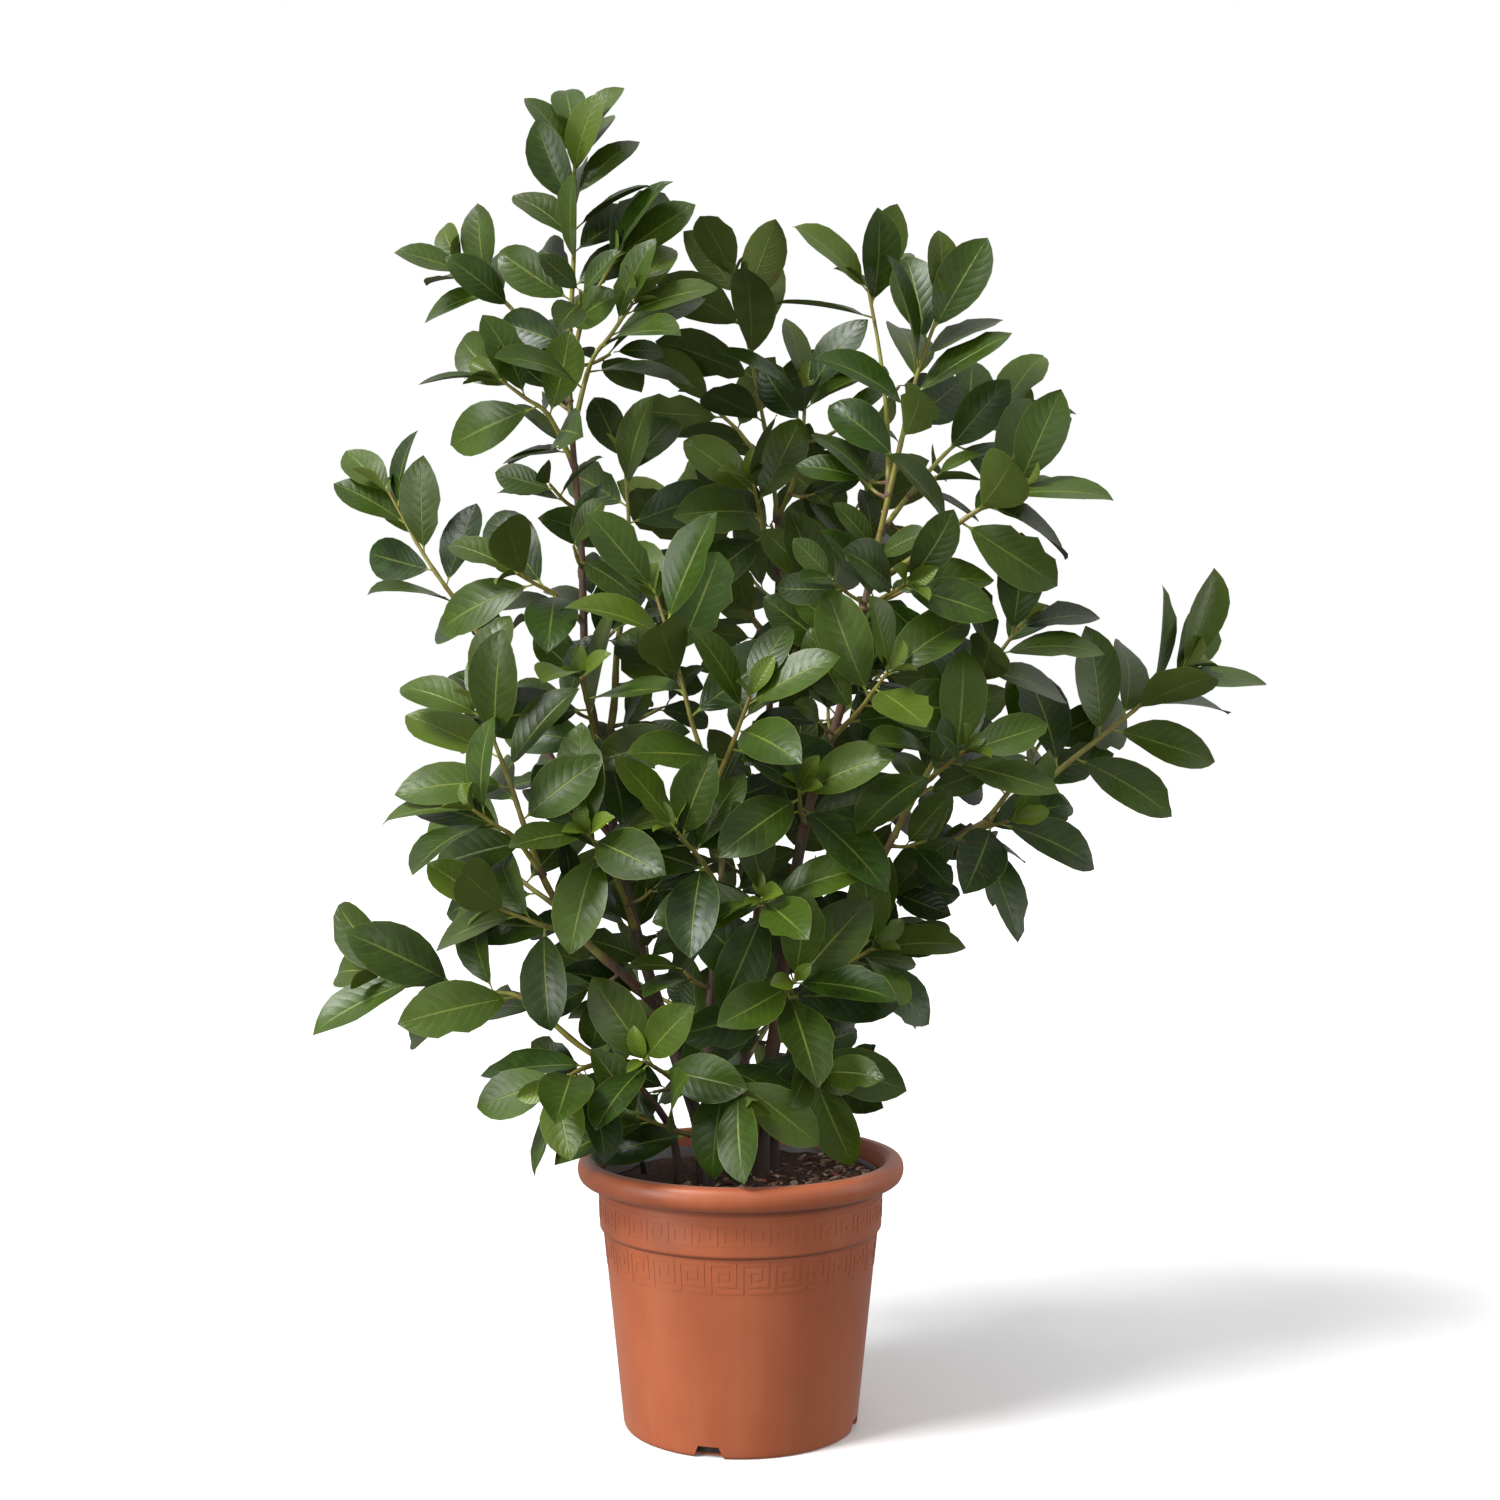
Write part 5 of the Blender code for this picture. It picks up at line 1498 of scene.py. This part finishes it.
@dataclass
class StemModel:
    """How a stretch of stem is modelled: its taper, where it swells, and its age and redness."""

    tip_radius: float = 0.0016
    taper_power: float = 0.9
    bevel_resolution: int = 4
    curve_steps: int = 6
    ring_spacing: float = 0.034
    ring_from: float = 0.36
    ring_swell: float = 0.07
    joint_swell: float = 0.14
    joint_reach: float = 0.008
    joint_stain: float = 0.8
    stain_reach: float = 0.004
    fork_swell: float = 0.3
    fork_reach: float = 0.014
    foot_swell: float = 0.25
    foot_height: float = 0.25
    foot_reach: float = 0.05
    unevenness: float = 0.03
    young_length: float = 0.17
    ageing_length: float = 0.22
    arm_age: float = 0.4
    arm_ageing: float = 1.6
    fork_age: float = 0.8
    fork_age_reach: float = 0.05
    redness: Pair = (0.1, 0.5)
    redness_of_age: float = 0.4

    def tube(self, name: str, points: list[Vector], radii: list[float]) -> bpy.types.Object:
        """A round stem along a line.

        Args:
            name: the object's name.
            points: the corners of its axis.
            radii: its radius at each.

        Returns:
            The stem as a mesh.
        """
        bpy.ops.curve.primitive_nurbs_path_add(location=CENTRE)
        curve = added(name).data
        curve.splines.clear()
        spline = curve.splines.new("POLY")
        spline.points.add(len(points) - 1)
        for point, place, radius in zip(spline.points, points, radii):
            point.co = (*place, 1.0)
            point.radius = radius
        curve.bevel_depth = 1.0
        curve.bevel_resolution = self.bevel_resolution
        curve.use_fill_caps = True
        bpy.ops.object.convert(target="MESH")
        obj = bpy.context.object
        for face in obj.data.polygons:
            face.use_smooth = len(face.vertices) == 4
        return obj

    def skin(self, stem: Stem, whole: Route, joints: list[Vector], start: float, end: float,
             name: str) -> bpy.types.Object:
        """A stretch of a stem with its taper, its leaf joints and its age.

        Args:
            stem: the stem.
            whole: its whole route.
            joints: where leaves join it.
            start: the distance at which the stretch starts.
            end: the distance at which it ends.
            name: the object's name.

        Returns:
            The stretch as a mesh.
        """
        fine = Route(whole.curved(self.curve_steps))
        marks = fine.marks()
        total = marks[-1]
        scale = total / whole.marks()[-1]
        low, high = start * scale, end * scale
        kept = [(place, mark) for place, mark in zip(fine.corners, marks) if low <= mark <= high]
        if end < whole.marks()[-1]:
            kept.append((fine.at(high)[0], high))
        if start > 0:
            kept.insert(0, (fine.at(low)[0], low))
        places = [place for place, _ in kept]
        rng = random.Random(name)
        radii, shades = [], []
        for place, mark in kept:
            share = min(1.0, mark / total)
            radius = stem.radius + (self.tip_radius - stem.radius) * share ** self.taper_power
            near = min([(place - joint).length for joint in joints] or [1.0])
            ring = abs((mark / self.ring_spacing) % 1.0 - 0.5) > self.ring_from
            swell = self.joint_swell * fading(near, self.joint_reach) + (self.ring_swell if ring else 0.0)
            if stem.parent:
                swell += self.fork_swell * fading(mark, self.fork_reach)
            else:
                swell += self.foot_swell * fading(max(0.0, place.z - self.foot_height), self.foot_reach)
            radii.append(radius * (1 + swell) + rng.uniform(-1, 1) * self.unevenness * radius)
            left = total - mark
            age = min(1.0, max(0.0, (left - self.young_length) / self.ageing_length))
            if stem.parent:
                fork_age = max(0.0, self.fork_age - mark / self.fork_age_reach)
                age = min(age, self.arm_age + left * self.arm_ageing) + fork_age
            red = rng.uniform(*self.redness) + self.redness_of_age * age
            shades.append((age, red, self.joint_stain if near < self.stain_reach or ring else 0.0))
        obj = self.tube(name, places, radii)

        def shade(co: Vector) -> Triple:
            """The shade of the nearest corner of the axis."""
            nearest = min(range(len(places)), key=lambda index: (places[index] - co).length_squared)
            return shades[nearest]

        painted(obj, shade)
        return obj


@dataclass
class Spurs:
    """Short twigs with a few smaller leaves, which fill the inside of the shrub."""

    rule: LeafRule
    leaf_model: LeafModel
    stem_model: StemModel
    spacing: float = 0.05
    start_chance: Pair = (0.2, 1.0)
    spacing_chance: Pair = (0.7, 1.3)
    end_margin: float = 0.01
    lowest: float = 0.33
    tries: int = 30
    clearance: float = 0.017
    length: Pair = (0.022, 0.07)
    forward: float = 0.4
    upward: float = 0.15
    level: float = 0.5
    sag: float = 0.004
    radius: float = 0.0022
    leaves: int = 4
    fewest_leaves: int = 3
    leaf_length: Pair = (0.078, 0.1)
    droop: Pair = (0.0, 0.5)
    first_leaf: float = 0.45
    leaf_spacing: float = 0.18
    loosened: float = 0.3
    yellow: float = 0.1
    yellow_chance: float = 0.1
    light: float = 0.8

    def is_clear(self, leaf: Leaf, taken: kdtree.KDTree, low: Vector, high: Vector) -> bool:
        """Whether a leaf keeps its distance to all that is there and stays inside the plant's reach."""
        for mark in (*self.leaf_model.marks(leaf), leaf.point(1.0, 0.0, 0.0)):
            if not all(a < b < c for a, b, c in zip(low, mark, high)):
                return False
            if taken.find(mark)[2] < self.clearance:
                return False
        return True

    def grow(self, stem: Stem, woody: Route, taken: list[Vector],
             reach: tuple[Vector, Vector]) -> list[bpy.types.Object]:
        """Grows the spurs of one stem.

        Args:
            stem: the stem that they grow on.
            woody: its bare stretch.
            taken: points of all that is there already, to which theirs are added.
            reach: the lowest and highest corner that they stay inside.

        Returns:
            Their meshes.
        """
        rng = random.Random(stem.name + " spurs")
        pieces = []
        distance = self.spacing * rng.uniform(*self.start_chance)
        while distance < woody.marks()[-1] - self.end_margin:
            root, way = woody.at(distance)
            distance += self.spacing * rng.uniform(*self.spacing_chance)
            if root.z < self.lowest:
                continue
            tree = kdtree.KDTree(len(taken))
            for index, mark in enumerate(taken):
                tree.insert(mark, index)
            tree.balance()
            for _ in range(self.tries):
                aside = Vector((rng.gauss(0, 1), rng.gauss(0, 1), rng.gauss(0, self.level)))
                aside = square_to(way, aside)[0]
                heading = (way * self.forward + aside + Vector((0.0, 0.0, self.upward))).normalized()
                end = root + heading * rng.uniform(*self.length)
                path = Route([root, root.lerp(end, 0.5) - way * self.sag, end])
                twig = Stem(stem.name, stem.wood, stem.name, self.radius, (), 0.0, self.leaves,
                            rng.uniform(*self.leaf_length), rng.uniform(0.0, math.tau),
                            rng.uniform(*self.droop))
                leaves = [self.rule.drawn(twig, path, self.first_leaf + self.leaf_spacing * index, index, rng,
                                          self.loosened) for index in range(self.leaves)]
                kept = [leaf for leaf in leaves if self.is_clear(leaf, tree, *reach)]
                if len(kept) >= self.fewest_leaves:
                    break
            else:
                continue
            joints = [leaf.root for leaf in kept]
            pieces.append(self.stem_model.skin(twig, path, joints, 0.0, path.marks()[-1], "spur"))
            for leaf in kept:
                taken += self.leaf_model.marks(leaf)
                yellow = max(0.0, rng.gauss(self.yellow, self.yellow_chance))
                shade = (yellow, rng.random() * self.light, rng.random() ** 3)
                pieces.append(self.leaf_model.bent(leaf, rng, shade))
        return pieces


@dataclass
class Shrub:
    """The whole plant: its wood, a leafy shoot at the end of each stem, and the spurs between them."""

    gap: float = 0.0003
    wood_spacing: float = 0.075
    shoot_spacing: float = 0.04
    fork_clearance: float = 0.022
    first_leaf: float = 0.1
    leafy_stretch: float = 0.88
    crowding: float = 0.85
    tries: int = 16
    same_point: float = 0.0002
    bud_leaves: tuple[int, ...] = (2, 3, 3)
    bud_turn: float = 0.4
    bud_lean: Pair = (0.25, 0.7)
    bud_inset: float = 0.002
    bud_length: Pair = (0.026, 0.05)
    bud_arch: Pair = (0.2, 0.7)
    bud_fold: Pair = (0.3, 0.6)
    bud_reference: Triple = (0.3, 1.0, 0.1)
    bud_yellow: Pair = (0.45, 0.85)
    yellow: float = 0.1
    yellow_at_tip: float = 0.22
    yellow_chance: float = 0.12
    taken_spacing: float = 0.015
    below_spurs: float = 0.03
    rule: LeafRule = field(default_factory=LeafRule)
    leaf_model: LeafModel = field(default_factory=LeafModel)
    stem_model: StemModel = field(default_factory=StemModel)

    def split(self, stem: Stem, parent: Route | None) -> tuple[Route, Route, Route, float]:
        """Splits a stem as its solids are split.

        Args:
            stem: the stem.
            parent: the woody route of the stem that it grows from.

        Returns:
            The whole route, the woody stretch, the leafy stretch, and the distance of the cut.
        """
        route = [Vector(point) for point in stem.route]
        if parent:
            route[0] = parent.nearest(route[0])
        whole = Route(route).smooth(self.wood_spacing)
        total = whole.marks()[-1]
        if not stem.parent:
            above = [p for p in whole.corners if p.z > route[1].z + self.wood_spacing / 2]
            whole = Route([route[0], route[1], *above])
        marks = whole.marks()
        segment = max(0, sum(mark < total - stem.leafy for mark in marks) - 1)
        middle = (marks[segment] + marks[segment + 1]) / 2
        tail = whole.corners[segment + 1:]
        fine_tail = Route(tail).smooth(self.shoot_spacing).corners if len(tail) > 1 else tail
        last, way = whole.at(middle - self.gap / 2)
        woody = Route([*whole.corners[:segment + 1], last])
        leafy = Route([last + way * self.gap, *fine_tail])
        return Route([*whole.corners[:segment + 1], *fine_tail]), woody, leafy, middle

    def leaves_of(self, stem: Stem, path: Route, solid: bpy.types.Object) -> list[tuple[float, Leaf]]:
        """Draws a stem's leaves again, keeping the try whose tip is a corner of the shoot's solid.

        Args:
            stem: the stem.
            path: its leafy stretch.
            solid: the solid of the shoot.

        Returns:
            Each leaf with its share of the leafy stretch.
        """
        rng = random.Random(stem.name)
        corners = [vertex.co for vertex in solid.data.vertices]
        found = []
        for index in range(stem.leaves):
            share = self.first_leaf + self.leafy_stretch * (index / (stem.leaves - 1)) ** self.crowding
            for attempt in range(self.tries):
                leaf = self.rule.drawn(stem, path, share, index, rng, attempt / self.tries)
                tip = leaf.point(1.0, 0.0, 0.0)
                if min((corner - tip).length for corner in corners) < self.same_point:
                    found.append((share, leaf))
                    break
        return found

    def tip_leaves(self, stem: Stem, path: Route) -> list[Leaf]:
        """Small young leaves round the bud at the end of a shoot."""
        rng = random.Random(stem.name + " bud")
        end, way = path.at(path.marks()[-1])
        first, second = square_to(way, Vector(self.bud_reference).normalized())
        found = []
        for index in range(rng.choice(self.bud_leaves)):
            around = index * self.rule.turn_between + rng.uniform(-self.bud_turn, self.bud_turn)
            radial = first * math.cos(around) + second * math.sin(around)
            lean = rng.uniform(*self.bud_lean)
            direction = (way * math.cos(lean) + radial * math.sin(lean)).normalized()
            upper = (way - direction * way.dot(direction)).normalized()
            found.append(Leaf(end - way * self.bud_inset, direction, upper, rng.uniform(*self.bud_length),
                              rng.uniform(*self.bud_arch), rng.uniform(*self.bud_fold)))
        return found

    def build(self, nodes: dict[str, bpy.types.Object]) -> None:
        """Builds all wood, all shoots and all spurs.

        Args:
            nodes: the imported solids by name.
        """
        self.leaf_model.model()
        bark = StemSkin().material()
        routes: dict[str, Route] = {}
        bare: dict[str, Route] = {}
        wood: dict[str, list[bpy.types.Object]] = {}
        taken: list[Vector] = []
        placed = 0
        for stem in STEMS:
            whole, woody, leafy, cut = self.split(stem, routes.get(stem.parent))
            routes[stem.name] = woody.drawn_back(self.fork_clearance)
            bare[stem.name] = woody
            node = "shoot_" + stem.name
            leaves = self.leaves_of(stem, leafy, nodes[node])
            placed += len(leaves)
            joints = [leaf.root for _, leaf in leaves]
            stretch = self.stem_model.skin(stem, whole, [], 0.0, cut, stem.wood)
            wood.setdefault(stem.wood, []).append(stretch)
            axis = self.stem_model.skin(stem, whole, joints, cut, whole.marks()[-1], node)
            pieces = [coated(axis, bark)]
            rng = random.Random(stem.name + " looks")
            for share, leaf in leaves:
                mean = self.yellow + self.yellow_at_tip * share ** 3
                yellow = max(0.0, rng.gauss(mean, self.yellow_chance))
                pieces.append(self.leaf_model.bent(leaf, rng, (yellow, rng.random(), rng.random() ** 3)))
                taken += self.leaf_model.marks(leaf)
            for leaf in self.tip_leaves(stem, leafy):
                shade = (rng.uniform(*self.bud_yellow), rng.random(), 0.0)
                pieces.append(self.leaf_model.bent(leaf, rng, shade))
                taken += self.leaf_model.marks(leaf)
            taken += whole.smooth(self.taken_spacing).corners
            settle(joined("leafy_" + stem.name, pieces), "laurel_leaf", node)
        LOG.info("%d large leaves", placed)
        spurs = Spurs(self.rule, self.leaf_model, self.stem_model)
        reach = tuple(Vector(corner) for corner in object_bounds())
        reach[0].z = spurs.lowest - self.below_spurs
        for name, stretches in wood.items():
            settle(coated(joined("stems_" + name, stretches), bark), "bark", name)
            grown = []
            for stem in STEMS:
                if stem.wood == name:
                    grown += spurs.grow(stem, bare[stem.name], taken, reach)
            for piece in grown:
                if not piece.data.materials:
                    coated(piece, bark)
            settle(joined("spurs_" + name, grown), "laurel_leaf")
            LOG.info("%s: %d spurs and leaves", name, len(grown))
        remove(self.leaf_model.template)


@dataclass
class Studio:
    """Plain pale floor, soft lights and the camera at the photograph's place."""

    camera_place: Triple = (0.010, -2.154, 0.7206)
    lens: float = 48.0
    sensor_width: float = 36.0
    floor_size: float = 60.0
    light_below: float = 0.24
    light_above: float = 0.85
    shade_from: float = -0.3

    def build_floor(self) -> None:
        """Builds the floor."""
        bpy.ops.mesh.primitive_plane_add(size=self.floor_size, location=CENTRE)
        obj = coated(added("pale_floor"), PaleFloor().material())
        obj.visible_diffuse = False
        obj.visible_glossy = False
        obj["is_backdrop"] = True

    def light(self, name: str, place: Triple, size: float, power: float, target: Triple) -> None:
        """Adds a soft square light.

        Args:
            name: the light's name.
            place: where it hangs.
            size: the length of its side.
            power: its power in watts.
            target: what it points at.
        """
        bpy.ops.object.light_add(type="AREA", location=place)
        lamp = bpy.context.object
        lamp.name = name
        lamp.data.shape = "SQUARE"
        lamp.data.size = size
        lamp.data.energy = power
        aim = Vector(target) - Vector(place)
        lamp.rotation_euler = aim.to_track_quat("-Z", "Y").to_euler()

    def build_surround(self) -> None:
        """Lights the scene softly, more from above than from below, and shows the camera plain white."""
        world = bpy.data.worlds.new("pale surround")
        world.use_nodes = True
        tree = world.node_tree
        soft = tree.nodes["Background"]
        seen = tree.nodes.new("ShaderNodeBackground")
        for background in (soft, seen):
            background.inputs["Color"].default_value = (1.0, 1.0, 1.0, 1.0)
        way = tree.nodes.new("ShaderNodeTexCoord")
        parts = tree.nodes.new("ShaderNodeSeparateXYZ")
        rise = tree.nodes.new("ShaderNodeMapRange")
        rise.inputs["From Min"].default_value = self.shade_from
        rise.inputs["To Min"].default_value = self.light_below
        rise.inputs["To Max"].default_value = self.light_above
        rays = tree.nodes.new("ShaderNodeLightPath")
        either = tree.nodes.new("ShaderNodeMixShader")
        for first, second in ((way.outputs["Generated"], parts.inputs[0]),
                              (parts.outputs[2], rise.inputs["Value"]),
                              (rise.outputs[0], soft.inputs["Strength"]),
                              (rays.outputs["Is Camera Ray"], either.inputs[0]),
                              (soft.outputs[0], either.inputs[1]), (seen.outputs[0], either.inputs[2]),
                              (either.outputs[0], tree.nodes["World Output"].inputs["Surface"])):
            tree.links.new(first, second)
        bpy.context.scene.world = world

    def sun(self, name: str, towards: Triple, strength: float, softness: float) -> None:
        """Adds a far soft light.

        Args:
            name: the light's name.
            towards: the way that its light travels.
            strength: its power.
            softness: how wide it looks, in degrees.
        """
        bpy.ops.object.light_add(type="SUN", location=(0.0, 0.0, 3.0))
        lamp = bpy.context.object
        lamp.name = name
        lamp.data.energy = strength
        lamp.data.angle = math.radians(softness)
        lamp.rotation_euler = Vector(towards).to_track_quat("-Z", "Y").to_euler()

    def build(self) -> None:
        """Builds the stage, the lights and the camera."""
        self.build_floor()
        self.build_surround()
        self.sun("key", towards=(0.8, 0.5, -1.1), strength=3.3, softness=20.0)
        self.light("side", place=(-2.2, -1.5, 0.5), size=0.9, power=36.0, target=(0.0, 0.0, 0.3))
        self.light("front", place=(0.1, -2.15, 0.8), size=0.4, power=4.5, target=(0.0, 0.0, 0.27))
        self.light("edge", place=(1.9, -0.2, 0.5), size=0.8, power=6.0, target=(0.0, 0.0, 0.2))
        bpy.ops.object.camera_add(location=self.camera_place, rotation=(math.radians(90), 0.0, 0.0))
        camera = bpy.context.object
        camera.data.lens = self.lens
        camera.data.sensor_width = self.sensor_width
        bpy.context.scene.camera = camera
        bpy.context.scene.view_settings.view_transform = "Standard"


def main() -> None:
    """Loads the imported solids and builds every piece."""
    logging.basicConfig(level=logging.INFO, format="%(name)s: %(message)s")
    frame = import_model()
    Studio().build()
    Container().build()
    GrowersPot().build()
    SoilBed().build()
    PlantLabel().build()
    Shrub().build(frame["nodes"])


if __name__ == "__main__":
    main()
